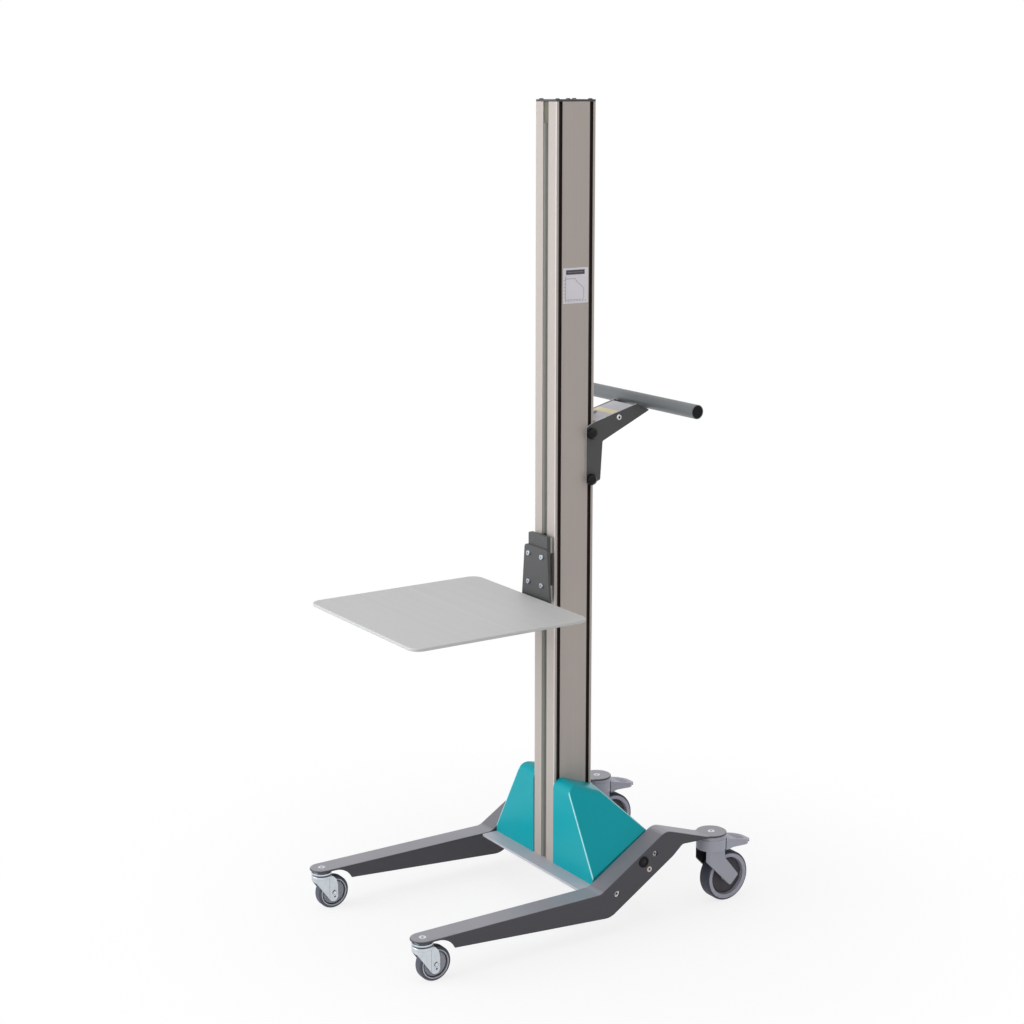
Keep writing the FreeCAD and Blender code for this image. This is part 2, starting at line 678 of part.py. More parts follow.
def carriage_body():
    """Carriage: a bar inside the mast, a neck through the slot and a head plate outside."""
    half = CARRIAGE_WIDTH / 2
    z0 = CARRIAGE_Z
    z1 = z0 + CARRIAGE_HEIGHT
    bar = prism_x([
        (CAVITY_FRONT_Y + 1, z0, 0),
        (CARRIAGE_REAR_Y, z0, 0),
        (CARRIAGE_REAR_Y, z1, 0),
        (CAVITY_FRONT_Y + 1, z1, 12),
    ], -half, half)
    neck = box(-NECK_WIDTH / 2, NECK_WIDTH / 2, HEAD_REAR_Y, CAVITY_FRONT_Y + 2, z0, z0 + NECK_HEIGHT)
    head = prism_y([
        (-HEAD_WIDTH / 2, z0, 5), (HEAD_WIDTH / 2, z0, 5),
        (HEAD_WIDTH / 2, z0 + NECK_HEIGHT, 5), (-HEAD_WIDTH / 2, z0 + NECK_HEIGHT, 5),
    ], HEAD_FRONT_Y, HEAD_REAR_Y)
    parts = [bar, neck, head]
    for z in roller_heights():
        parts.append(rod_x(-ROLLER_X + 0.5, ROLLER_X - 0.5, ROLLER_Y, z, ROLLER_AXLE_RADIUS + 3))
        reach = ROLLER_X + ROLLER_WIDTH + 1.5
        parts.append(rod_x(-reach, reach, ROLLER_Y, z, ROLLER_AXLE_RADIUS))
    return joined(parts)


def roller_heights():
    return [CARRIAGE_Z + ROLLER_INSET, CARRIAGE_Z + CARRIAGE_HEIGHT - ROLLER_INSET]


def roller_pair(z):
    """Two grooved rollers on one axle, one each side of the carriage."""
    r = ROLLER_RADIUS
    bore = ROLLER_AXLE_RADIUS + RUN
    roller = turned_x([
        (0, bore, 0), (0, r - 1.5, 0), (1.5, r, 0), (ROLLER_WIDTH - 1.5, r, 0),
        (ROLLER_WIDTH, r - 1.5, 0), (ROLLER_WIDTH, bore, 0),
    ], ROLLER_X, ROLLER_Y, z)
    return [roller, mirrored(roller)]


def glide_pads():
    """Plastic pads behind the head plate, which glide on the front of the mast."""
    pads = []
    for z in (CARRIAGE_Z + 6, CARRIAGE_Z + NECK_HEIGHT - 6 - GLIDE_HEIGHT):
        pad = box(GLIDE_X - GLIDE_WIDTH / 2, GLIDE_X + GLIDE_WIDTH / 2, HEAD_REAR_Y, -MAST_DEPTH / 2 - SLIDE,
                  z, z + GLIDE_HEIGHT)
        pads = pads + [pad, mirrored(pad)]
    return pads


def belt_clamp():
    """Block on the carriage bar, with a slot that holds the belt's front run."""
    half = BELT_WIDTH / 2 + 4
    front = BELT_FRONT_Y - BELT_BACK - SLIDE
    rear = BELT_FRONT_Y + BELT_BACK + SLIDE
    z = CARRIAGE_Z + CARRIAGE_HEIGHT / 2
    low = z - CLAMP_HEIGHT / 2
    high = z + CLAMP_HEIGHT / 2
    jaw = box(-half, half, CARRIAGE_REAR_Y, rear + 3, low, high)
    return jaw.cut(box(-BELT_WIDTH / 2 - SLIDE, BELT_WIDTH / 2 + SLIDE, front, rear, low - 1, high + 1))


def platform():
    """Plain plate with round corners and eased edges."""
    half = PLATFORM_WIDTH / 2
    front = PLATFORM_FRONT_Y
    rear = PLATFORM_REAR_Y
    r = PLATFORM_CORNER
    plate = prism_z([(-half, front, r), (half, front, r), (half, rear, r), (-half, rear, r)],
                    SHELF_TOP, PLATFORM_TOP)
    rim = [e for e in plate.Edges if e.BoundBox.ZLength < 0.01]
    return plate.makeFillet(PLATFORM_EDGE, rim)


def platform_bracket():
    """Welded bracket: a back plate, a shelf and two arms under the platform."""
    half = BRACKET_WIDTH / 2
    base = SHELF_TOP - BRACKET_SHEET
    back = prism_y([
        (-half, base, 0), (half, base, 0),
        (half - 12, PLATFORM_TOP + BRACKET_HEIGHT, 10), (-half + 12, PLATFORM_TOP + BRACKET_HEIGHT, 10),
    ], BRACKET_FRONT_Y, HEAD_FRONT_Y)
    wide = BRACKET_SHELF_WIDTH / 2
    shelf_front = HEAD_FRONT_Y - BRACKET_SHELF
    shelf = prism_z([
        (-wide, shelf_front, 10), (wide, shelf_front, 10), (half, HEAD_FRONT_Y, 0), (-half, HEAD_FRONT_Y, 0),
    ], base, SHELF_TOP)
    arm_rear = BRACKET_FRONT_Y - 20
    arm = prism_x([
        (arm_rear - ARM_LENGTH, SHELF_TOP, 0), (arm_rear, SHELF_TOP, 0),
        (arm_rear, SHELF_TOP - ARM_HEIGHT, 0), (arm_rear - ARM_LENGTH + 60, SHELF_TOP - ARM_HEIGHT, 0),
        (arm_rear - ARM_LENGTH, SHELF_TOP - 6, 0),
    ], ARM_X - ARM_WIDTH / 2, ARM_X + ARM_WIDTH / 2)
    bracket = joined([back, shelf, arm, mirrored(arm)])
    for x, z in bracket_screw_places():
        bracket = bracket.cut(rod_y(BRACKET_FRONT_Y - 1, HEAD_FRONT_Y + 1, x, z, SCREW_RADIUS + SEAT))
    return bracket


def bracket_screw_places():
    return [(x, PLATFORM_TOP + z) for x in (-28, 28) for z in (30, 100)]


def platform_screws():
    """Cap screws that hold the bracket to the carriage head."""
    screws = []
    for x, z in bracket_screw_places():
        head = rod_y(BRACKET_FRONT_Y - SCREW_HEAD, BRACKET_FRONT_Y, x, z, SCREW_HEAD_RADIUS)
        shank = rod_y(BRACKET_FRONT_Y, HEAD_FRONT_Y, x, z, SCREW_RADIUS)
        key = rod_y(BRACKET_FRONT_Y - SCREW_HEAD - 1, BRACKET_FRONT_Y - SCREW_HEAD + 3, x, z, 3)
        screws.append(joined([head, shank]).cut(key))
    return screws


def cover_body(inset):
    """Faceted hood over the base, each of its planes moved inwards by inset."""
    rear = COVER_REAR_Y
    body = box(-COVER_SIDE_X + inset, COVER_SIDE_X - inset, COVER_FRONT_Y + inset, rear - inset,
               BASE_TOP - (1 if inset else 0), COVER_TOP_Z + 60)
    top = Vector(0, COVER_TOP_FALL, 1)
    side = Vector(1, -COVER_SPREAD, COVER_LEAN)
    hip = Vector(COVER_HIP_SPREAD * 0.895, COVER_HIP_FALL, 1)
    top.normalize()
    side.normalize()
    hip.normalize()
    top_point = Vector(0, COVER_FRONT_Y, COVER_TOP_Z)
    side_point = Vector(COVER_RIDGE_X, COVER_FRONT_Y, COVER_RIDGE_Z)
    hip_y = MAST_DEPTH / 2
    hip_point = Vector(MAST_WIDTH / 2, hip_y, COVER_TOP_Z - COVER_TOP_FALL * (hip_y - COVER_FRONT_Y))
    body = body.cut(beyond(top_point - top * inset, top))
    for point, normal in ((side_point, side), (hip_point, hip)):
        block = beyond(point - normal * inset, normal)
        body = body.cut(block)
        body = body.cut(mirrored(block))
    return body


def rounded_body(inset):
    """The hood with its broad round shoulder, each face moved inwards by inset."""
    body = cover_body(inset)
    edges = [e for e in body.Edges if shoulder_edge(e, inset)]
    return body.makeFillet(COVER_SHOULDER - inset, edges)


def cover_half():
    """Left shell of the cover, which meets the right one behind the mast."""
    outer = rounded_body(0)
    ridges = [e for e in outer.Edges if ridge_edge(e)]
    outer = outer.makeFillet(COVER_RIDGE_ROUND, ridges)
    shell = outer.cut(rounded_body(COVER_WALL))
    x = MAST_WIDTH / 2 + SLIDE
    shell = shell.cut(box(-x, x, COVER_FRONT_Y - 1, MAST_DEPTH / 2 + SLIDE, 0, 500))
    shell = shell.cut(box(-400, SEAT / 2, -300, 400, 0, 500))
    shell = shell.cut(box(-400, 400, COVER_REAR_Y - COVER_WALL, 400, 0, 500))
    return shell.cut(cheek_room()).removeSplitter()


def cheek_room():
    """Space beside a cheek, which the cover's skirt leaves free."""
    front, crest = cheek_top()
    x0 = COVER_SIDE_X - COVER_WALL - 1
    line = [(front[0] - 1, 0, 0), (front[0] - 1, front[1] + 1, 0), (crest[0], crest[1] + 1, 0)]
    return prism_x(line + [(400, crest[1] + 1, 0), (400, 0, 0)], x0, x0 + 30)


def shoulder_edge(edge, inset):
    """True for the upper edges in front and at the two sides of the hood."""
    middle = edge.valueAt((edge.FirstParameter + edge.LastParameter) / 2)
    top = COVER_TOP_Z - COVER_TOP_FALL * (middle.y - COVER_FRONT_Y)
    top = top - inset * math.sqrt(1 + COVER_TOP_FALL ** 2)
    return abs(middle.z - top) < 0.5 and middle.y < 20


def ridge_edge(edge):
    """True for the two front edges that slope down to the legs."""
    middle = edge.valueAt((edge.FirstParameter + edge.LastParameter) / 2)
    line = COVER_RIDGE_X - (middle.z - COVER_RIDGE_Z) * COVER_LEAN
    on_front = abs(middle.y - COVER_FRONT_Y) < 0.1 and edge.BoundBox.YLength < 0.1
    return on_front and abs(abs(middle.x) - line) < 1.5 and edge.BoundBox.ZLength > 40


def rear_cover():
    """Flat service panel that closes the hood behind."""
    hood = cover_body(0)
    side = COVER_SIDE_X + COVER_WALL
    slab = box(-side, side, COVER_REAR_Y - COVER_WALL, COVER_REAR_Y, BASE_TOP, COVER_TOP_Z)
    panel = hood.common(slab)
    for x, z in rear_screw_places():
        panel = panel.cut(rod_y(COVER_REAR_Y - 10, COVER_REAR_Y + 1, x, z, PANEL_SCREW_RADIUS + SEAT))
    return panel


def rear_screw_places():
    low = BASE_TOP + PANEL_SCREW_RISE
    high = BASE_TOP + PANEL_SCREW_HIGH_RISE
    return [(x, low) for x in (-PANEL_SCREW_X, 0, PANEL_SCREW_X)] + [
        (x, high) for x in (-PANEL_SCREW_HIGH_X, PANEL_SCREW_HIGH_X)]


def cover_screws():
    """Button-head screws in the rear panel."""
    screws = []
    for x, z in rear_screw_places():
        head = rod_y(COVER_REAR_Y, COVER_REAR_Y + 2.2, x, z, 2 * PANEL_SCREW_RADIUS)
        screws.append(joined([head, rod_y(COVER_REAR_Y - 8, COVER_REAR_Y, x, z, PANEL_SCREW_RADIUS)]))
    return screws


def batteries():
    """Two sealed lead-acid batteries, beside and behind the mast."""
    z = BASE_TOP
    long = BATTERY_LENGTH
    side_x = -BATTERY_SIDE_X
    side = box(side_x - BATTERY_WIDTH, side_x, -50, -50 + long, z, z + BATTERY_HEIGHT)
    rear_y = MAST_DEPTH / 2 + COLLAR_WALL + BATTERY_GAP
    behind = box(-long / 2, long / 2, rear_y, rear_y + BATTERY_WIDTH, z, z + BATTERY_HEIGHT)
    shapes = []
    side_posts = ((side_x - 20, -40), (side_x - 20, 90))
    rear_posts = ((-60, rear_y + 32), (60, rear_y + 32))
    for block, posts in ((side, side_posts), (behind, rear_posts)):
        terminals = [rod_z(z + BATTERY_HEIGHT, z + BATTERY_HEIGHT + 4, x, y, 5) for x, y in posts]
        shapes.append(joined([block] + terminals))
    return shapes


def controller():
    """Box with the motor controller and charger."""
    x = MAST_WIDTH / 2 + 64
    case = box(x, x + 44, -45, 60, BASE_TOP, BASE_TOP + 55)
    fins = [box(x + 4 + 8 * i, x + 7 + 8 * i, -40, 55, BASE_TOP + 55, BASE_TOP + 63) for i in range(5)]
    return joined([case] + fins)


def gearbox():
    """Worm gearbox bolted to the side of the mast, with a bore for the drive shaft."""
    x = MAST_WIDTH / 2
    case = prism_x([
        (PULLEY_Y - 34, DRIVE_Z - 13, 6), (PULLEY_Y + 34, DRIVE_Z - 13, 6),
        (PULLEY_Y + 34, DRIVE_Z + 42, 12), (PULLEY_Y - 34, DRIVE_Z + 42, 12),
    ], x, x + 56)
    hub = rod_x(x + 56, x + 60, PULLEY_Y, DRIVE_Z + 4, 16)
    bore = rod_x(x - 1, x + 40, PULLEY_Y, DRIVE_Z, SHAFT_RADIUS + RUN)
    return joined([case, hub]).cut(bore)


def gear_motor():
    """Upright motor on the gearbox, with its end cap."""
    x = MAST_WIDTH / 2 + 30
    z = DRIVE_Z + 42
    return turned_z([
        (0, z, 0), (26, z, 0), (26, z + 6, 0), (24, z + 6, 0), (24, z + 80, 3), (14, z + 84, 2), (0, z + 84, 0),
    ], x, PULLEY_Y)


def charging_socket():
    """Round charging inlet in the left leg, with its dust plug in place."""
    r = SOCKET_RADIUS
    return turned_x([
        (-24, 0, 0), (-24, r, 0), (0, r, 0), (0, r + 5, 0), (2.2, r + 4.2, 0), (2.2, r + 1, 0),
        (0.8, r + 0.4, 0), (0.8, 0, 0),
    ], LEG_OUTER_X, SOCKET_Y, SOCKET_Z)


def charge_lamp():
    """Small lamp with a bright ring, below the charging inlet."""
    r = LAMP_RADIUS
    return turned_x([
        (-14, 0, 0), (-14, r, 0), (0, r, 0), (0, r + 2.5, 0), (1.6, r + 1.9, 0), (1.6, r - 1.5, 0),
        (0.6, r - 1.9, 0), (0.6, 0, 0),
    ], LEG_OUTER_X, LAMP_Y, LAMP_Z)


def handle_points():
    """Side view of a handle bracket, upright part against the mast and arm behind."""
    z = HANDLE_Z
    return [
        (BRACKET_FOOT_Y, z + BRACKET_FOOT_RISE, 3),
        (BRACKET_HEEL_Y, z, 3),
        (BRACKET_BACK_Y, z + BRACKET_BACK_RISE, 4),
        (ELBOW_Y, z + ELBOW_RISE, 5),
        (ARM_END_Y, z + ARM_END_RISE, 2),
        (ARM_TOP_Y, z + ARM_TOP_RISE, 1),
        (SHOULDER_Y, z + SHOULDER_RISE, 4),
        (BRACKET_FOOT_Y, z + BRACKET_CROWN_RISE, 4),
    ]


def tube_place():
    """Axis of the handle tube, which rests in a saddle in each bracket's slanted end."""
    low = Vector(0, ARM_END_Y, HANDLE_Z + ARM_END_RISE)
    high = Vector(0, ARM_TOP_Y, HANDLE_Z + ARM_TOP_RISE)
    along = high - low
    along.normalize()
    up = Vector(0, along.z, -along.y)
    return (low + high) * 0.5 + up * (TUBE_RADIUS - SADDLE_DEPTH)


def handle_bracket():
    """Flat bracket with a saddle for the tube and holes for the knob studs."""
    plate = prism_x(handle_points(), HANDLE_X, HANDLE_X + HANDLE_SHEET)
    tube = tube_place()
    plate = plate.cut(rod_x(HANDLE_X - 1, HANDLE_X + HANDLE_SHEET + 1, tube.y, tube.z, TUBE_RADIUS))
    for z in knob_heights():
        plate = plate.cut(rod_x(HANDLE_X - 1, HANDLE_X + HANDLE_SHEET + 1, TSLOT_Y, z, KNOB_STUD_RADIUS + RUN))
    return plate.cut(rod_x(HANDLE_X - 1, HANDLE_X + HANDLE_SHEET + 1, *bush_place(), 4))


def knob_heights():
    return [HANDLE_Z + KNOB_LOW_Z, HANDLE_Z + KNOB_HIGH_Z]


def bush_place():
    return (BUSH_Y, HANDLE_Z + BUSH_RISE)


def panel_bushes():
    """Hollow bushes of the control panel, rolled over outside the brackets."""
    y, z = bush_place()
    x = HANDLE_X + HANDLE_SHEET
    bush = turned_x([(-HANDLE_SHEET, 2.5, 0), (-HANDLE_SHEET, 4, 0), (0, 4, 0), (0, 7, 0), (1.6, 6, 0),
                      (1.6, 2.5, 0)], x, y, z)
    return [bush, mirrored(bush)]


def handle_tube():
    tube = tube_place()
    half = TUBE_LENGTH / 2
    outer = rod_x(-half, half, tube.y, tube.z, TUBE_RADIUS)
    return outer.cut(rod_x(-half - 1, half + 1, tube.y, tube.z, TUBE_RADIUS - TUBE_WALL))


def tube_plugs():
    """Plastic plugs set just inside the tube's ends."""
    tube = tube_place()
    x = TUBE_LENGTH / 2 - PLUG_RECESS
    plug = rod_x(x - PLUG_DEPTH, x, tube.y, tube.z, TUBE_RADIUS - TUBE_WALL)
    plug = plug.cut(rod_x(x - PLUG_DEPTH - 1, x - 4, tube.y, tube.z, TUBE_RADIUS - TUBE_WALL - 2))
    return [plug, mirrored(plug)]


def panel_axes():
    """Corner, direction along the top and direction into the control panel."""
    rise = math.radians(PANEL_RISE_DEG)
    corner = Vector(0, SHOULDER_Y, HANDLE_Z + SHOULDER_RISE)
    along = Vector(0, math.cos(rise), math.sin(rise))
    into = Vector(0, math.sin(rise), -math.cos(rise))
    return corner, along, into


def control_panel():
    """Closed box between the brackets, with a flat top that carries the two buttons."""
    corner, along, into = panel_axes()
    points = []
    for run, depth in ((7, 0.5), (128, 0.5), (126, PANEL_DEPTH), (10, PANEL_DEPTH)):
        p = corner + along * run + into * depth
        points.append((p.y, p.z, 2))
    body = joined([prism_x(points, -HANDLE_X, HANDLE_X)] + panel_bushes())
    for place in button_places():
        hole = Part.makeCylinder(BUTTON_RADIUS - 1, BUTTON_STEM + BUTTON_TRAVEL + 1, place - into, into)
        body = body.cut(hole)
    return body


def button_places():
    """Centres of the up and down buttons on the panel's top face."""
    corner, along, into = panel_axes()
    base = corner + into * 0.5 + Vector(BUTTON_X, 0, 0)
    return [base + along * 46, base + along * 22]


def button(place):
    """Push button: a stem in the panel and a cap that stands proud of it."""
    corner, along, into = panel_axes()
    stem = Part.makeCylinder(BUTTON_RADIUS - 1 - RUN, BUTTON_STEM - 0.5, place - into * BUTTON_TRAVEL, into)
    cap = Part.makeCylinder(BUTTON_RADIUS, BUTTON_PROUD, place - into * (BUTTON_TRAVEL + SLIDE + BUTTON_PROUD), into)
    neck = Part.makeCylinder(BUTTON_RADIUS - 1 - RUN, SLIDE + 0.1, place - into * (BUTTON_TRAVEL + SLIDE), into)
    return joined([cap, neck, stem])


def clamp_nuts():
    """Nuts that slide in the rear T slots, behind each knob."""
    x1 = MAST_WIDTH / 2 - TSLOT_LIP - SLIDE
    x0 = MAST_WIDTH / 2 - TSLOT_DEPTH + SLIDE
    half = TSLOT_CHAMBER / 2 - SLIDE
    nuts = []
    for z in knob_heights():
        nut = box(x0, x1, TSLOT_Y - half, TSLOT_Y + half, z - TNUT_HEIGHT / 2, z + TNUT_HEIGHT / 2)
        nut = nut.cut(rod_x(x0 - 1, x1 + 1, TSLOT_Y, z, KNOB_STUD_RADIUS + RUN))
        nuts = nuts + [nut, mirrored(nut)]
    return nuts


def knob(z):
    """Domed clamping knob with its stud, on the left side."""
    x = HANDLE_X + HANDLE_SHEET + RUN
    stud_end = MAST_WIDTH / 2 - TSLOT_DEPTH + SLIDE
    return turned_x([
        (stud_end - x, 0, 0), (stud_end - x, KNOB_STUD_RADIUS, 0), (0, KNOB_STUD_RADIUS, 0),
        (0, KNOB_RADIUS - 3, 0), (4, KNOB_RADIUS, 3), (KNOB_HEIGHT - 5, KNOB_RADIUS - 1, 4),
        (KNOB_HEIGHT, KNOB_RADIUS - 7, 4), (KNOB_HEIGHT, 0, 0),
    ], x, TSLOT_Y, z)


def front_fork():
    """Pressed fork: a turned bearing head and a folded sheet that narrows to the axle."""
    y = FRONT_SWIVEL_Y
    top = LEG_TOP - LEG_SHEET - SLIDE
    low = top - FORK_HEAD_HEIGHT
    r = FORK_HEAD_RADIUS
    head = turned_z([
        (KINGPIN_RADIUS + RUN, low, 0), (r, low, 0), (r, low + 5.5, 1.5), (r - 3, low + 6.5, 0),
        (r - 3, low + 9, 0), (r, low + 10, 0), (r, low + 14, 0), (r - 4, low + 14.5, 0),
        (r - 4, low + 18, 0), (r - 2, low + 18, 0), (r - 2, top, 0), (KINGPIN_RADIUS + RUN, top, 0),
    ], LEG_CENTRE, y)
    n = FORK_NARROW
    plan = [(-1, 44, 0), (-1, FORK_CREASE, 1.5), (-n, -FORK_FRONT, 3), (n, -FORK_FRONT, 3), (1, FORK_CREASE, 1.5),
            (1, 44, 0)]
    outer_x = FORK_GAP / 2 + FORK_SHEET
    outer = prism_z([(LEG_CENTRE + outer_x * a, y + b, c) for a, b, c in plan], FORK_FOOT_Z - 2, low + 2)
    inner_x = FORK_GAP / 2
    front = y - FORK_FRONT + FORK_SHEET
    inner = [(-1, y + 45), (-1, y + FORK_CREASE), (-n, front), (n, front), (1, y + FORK_CREASE), (1, y + 45)]
    room = prism_z([(LEG_CENTRE + inner_x * a, b, 0) for a, b in inner], FORK_FOOT_Z - 3, low)
    side = prism_x([
        (y - 26, low + 2, 0), (y - 26, low - 3, 0), (y + 14, FORK_FOOT_Z + 4, 3), (y + 20, FORK_FOOT_Z, 6),
        (y + 31, FORK_FOOT_Z, 8), (y + 36, FORK_FOOT_Z + 9, 6), (y + 36, 60, 20), (y + 32, 76, 10), (y + 22, low + 2, 0),
    ], LEG_CENTRE - 40, LEG_CENTRE + 40)
    sheet = outer.common(side).cut(room)
    crown = rod_z(low - FORK_SHEET, low, LEG_CENTRE, y, r - 1).common(side)
    crown = crown.common(box(LEG_CENTRE - r, LEG_CENTRE + r, y - r, y + 7, low - 10, low))
    cuts = [rod_z(low - 20, top + 1, LEG_CENTRE, y, KINGPIN_RADIUS + RUN)]
    axle_y = y + FRONT_TRAIL
    cuts.append(rod_x(LEG_CENTRE - 40, LEG_CENTRE + 40, axle_y, FRONT_WHEEL_RADIUS, FRONT_AXLE_RADIUS))
    cuts.append(rod_x(LEG_CENTRE - 40, LEG_CENTRE + 40, axle_y, FORK_HOLE_Z, FORK_HOLE_RADIUS))
    for x0, x1 in ((outer_x - AXLE_RING_DEPTH, outer_x + 1), (-outer_x - 1, -outer_x + AXLE_RING_DEPTH)):
        ring = rod_x(LEG_CENTRE + x0, LEG_CENTRE + x1, axle_y, FRONT_WHEEL_RADIUS, AXLE_RING)
        cuts.append(ring.cut(rod_x(LEG_CENTRE + x0, LEG_CENTRE + x1, axle_y, FRONT_WHEEL_RADIUS, AXLE_RING - 1.4)))
    return joined([head, sheet, crown]).cut(cuts)


def front_kingpin():
    """Countersunk king pin with its riveted foot, on which the fork turns."""
    top = LEG_TOP
    low = top - LEG_SHEET - SLIDE - FORK_HEAD_HEIGHT - FORK_SHEET - SLIDE
    pin = turned_z([
        (0, top, 0), (KINGPIN_HEAD_RADIUS, top, 0), (KINGPIN_HEAD_RADIUS, top - 0.4, 0),
        (KINGPIN_RADIUS, top - LEG_SHEET + 0.2, 0), (KINGPIN_RADIUS, low, 0), (KINGPIN_RADIUS + 3, low, 0),
        (KINGPIN_RADIUS + 2, low - 2.5, 0), (0, low - 2.5, 0),
    ], LEG_CENTRE, FRONT_SWIVEL_Y)
    return pin.cut(rod_z(top - 2.5, top + 1, LEG_CENTRE, FRONT_SWIVEL_Y, 3))


def front_axle():
    """Axle with low riveted heads."""
    x = FORK_GAP / 2 + FORK_SHEET
    head = FRONT_AXLE_RADIUS + 1
    profile = [(-x - 1, 0, 0), (-x - 1, head - 1, 0), (-x, head, 0), (-x, FRONT_AXLE_RADIUS, 0),
               (x, FRONT_AXLE_RADIUS, 0), (x, head, 0), (x + 1, head - 1, 0), (x + 1, 0, 0)]
    return turned_x(profile, LEG_CENTRE, FRONT_SWIVEL_Y + FRONT_TRAIL, FRONT_WHEEL_RADIUS)


def front_tyre():
    """Soft grey tyre with a flat tread and rounded shoulders."""
    half = FRONT_WHEEL_WIDTH / 2
    r = FRONT_WHEEL_RADIUS
    inner = r - FRONT_TYRE
    return turned_x([(-half + 0.5, inner, 0), (-half, r - 5, 2), (-half + 3, r, 4), (half - 3, r, 4),
                     (half, r - 5, 2), (half - 0.5, inner, 0)], LEG_CENTRE, FRONT_SWIVEL_Y + FRONT_TRAIL, r)


def front_wheel():
    """Plastic wheel centre with a raised rim, a groove and a plain hub."""
    r = FRONT_WHEEL_RADIUS - FRONT_TYRE
    half = FRONT_WHEEL_WIDTH / 2
    bore = FRONT_AXLE_RADIUS + RUN
    hub = FORK_GAP / 2 - SLIDE
    right = [(hub, bore, 0), (hub, 9, 0), (half - 2.5, 10, 0), (half - 2.5, r - 6, 0), (half - 5, r - 5, 0),
             (half - 5, r - 2.5, 0), (half - 0.2, r - 2, 0), (half - 0.2, r - 0.6, 0), (half - 0.8, r, 0)]
    left = [(-a, b, c) for a, b, c in reversed(right)]
    return turned_x(right + left, LEG_CENTRE, FRONT_SWIVEL_Y + FRONT_TRAIL, FRONT_WHEEL_RADIUS)


def rear_housing():
    """Moulded castor housing: a hollow round head whose skirt runs on into two slanted arms."""
    y = REAR_SWIVEL_Y
    top = DISC_TOP - LEG_SHEET - SLIDE
    r = HOUSING_RADIUS
    low = top - HOUSING_SKIRT
    web = top - 14
    bore = KINGPIN_RADIUS + RUN
    head = turned_z([
        (bore, web, 0), (r - HOUSING_WALL, web, 0), (r - HOUSING_WALL, low, 0), (r, low, 0),
        (r, top - HOUSING_RING - 1, 0), (r - 1.2, top - HOUSING_RING, 0), (r - 0.5, top - HOUSING_RING + 1, 0),
        (r - 0.5, top - 1, 0), (r - 1.5, top, 0), (bore, top, 0),
    ], LEG_CENTRE, y)
    rear_slot = box(LEG_CENTRE - ARM_GAP / 2, LEG_CENTRE + ARM_GAP / 2, y + 10, y + 60, low - 40, web)
    axle_y = y + REAR_TRAIL
    axle_z = REAR_WHEEL_RADIUS
    side = [
        (y - 34.5, low + 1, 0), (y - 34.5, low - 22, 3), (axle_y - 1, axle_z - 20, 5), (axle_y + 24, axle_z + 4, 5),
        (y + 21.5, low - 22, 4), (y + 21.5, low + 9, 0), (y - 10, low + 9, 0), (y - 20, low + 1, 0),
    ]
    shroud = joined([
        rod_z(0, top, LEG_CENTRE, y, r),
        box(LEG_CENTRE - r, LEG_CENTRE + r, y - 8, axle_y + 40, 0, top),
    ])
    arms = []
    for s in (-1, 1):
        x = sorted((s * ARM_GAP / 2, s * (ARM_GAP / 2 + ARM_PLATE)))
        arms.append(prism_x(side, LEG_CENTRE + x[0], LEG_CENTRE + x[1]).common(shroud))
    axle = rod_x(LEG_CENTRE - 25, LEG_CENTRE + 25, axle_y, axle_z, REAR_AXLE_RADIUS + RUN)
    pins = rod_x(LEG_CENTRE - 25, LEG_CENTRE + 25, y + PEDAL_PIVOT_Y, PEDAL_PIVOT_Z, PEDAL_PIN_RADIUS + RUN)
    body = joined([head.cut(rear_slot)] + arms)
    return body.cut(axle).cut(pins)


def rear_kingpin():
    """Countersunk king pin of a rear castor."""
    top = DISC_TOP
    low = top - LEG_SHEET - SLIDE - 14 - SLIDE
    pin = turned_z([
        (0, top, 0), (KINGPIN_HEAD_RADIUS, top, 0), (KINGPIN_HEAD_RADIUS, top - 0.4, 0),
        (KINGPIN_RADIUS, top - LEG_SHEET + 0.2, 0), (KINGPIN_RADIUS, low, 0), (KINGPIN_RADIUS + 4, low, 0),
        (KINGPIN_RADIUS + 4, low - 5, 0), (0, low - 5, 0),
    ], LEG_CENTRE, REAR_SWIVEL_Y)
    return pin.cut(rod_z(top - 2.5, top + 1, LEG_CENTRE, REAR_SWIVEL_Y, 3))


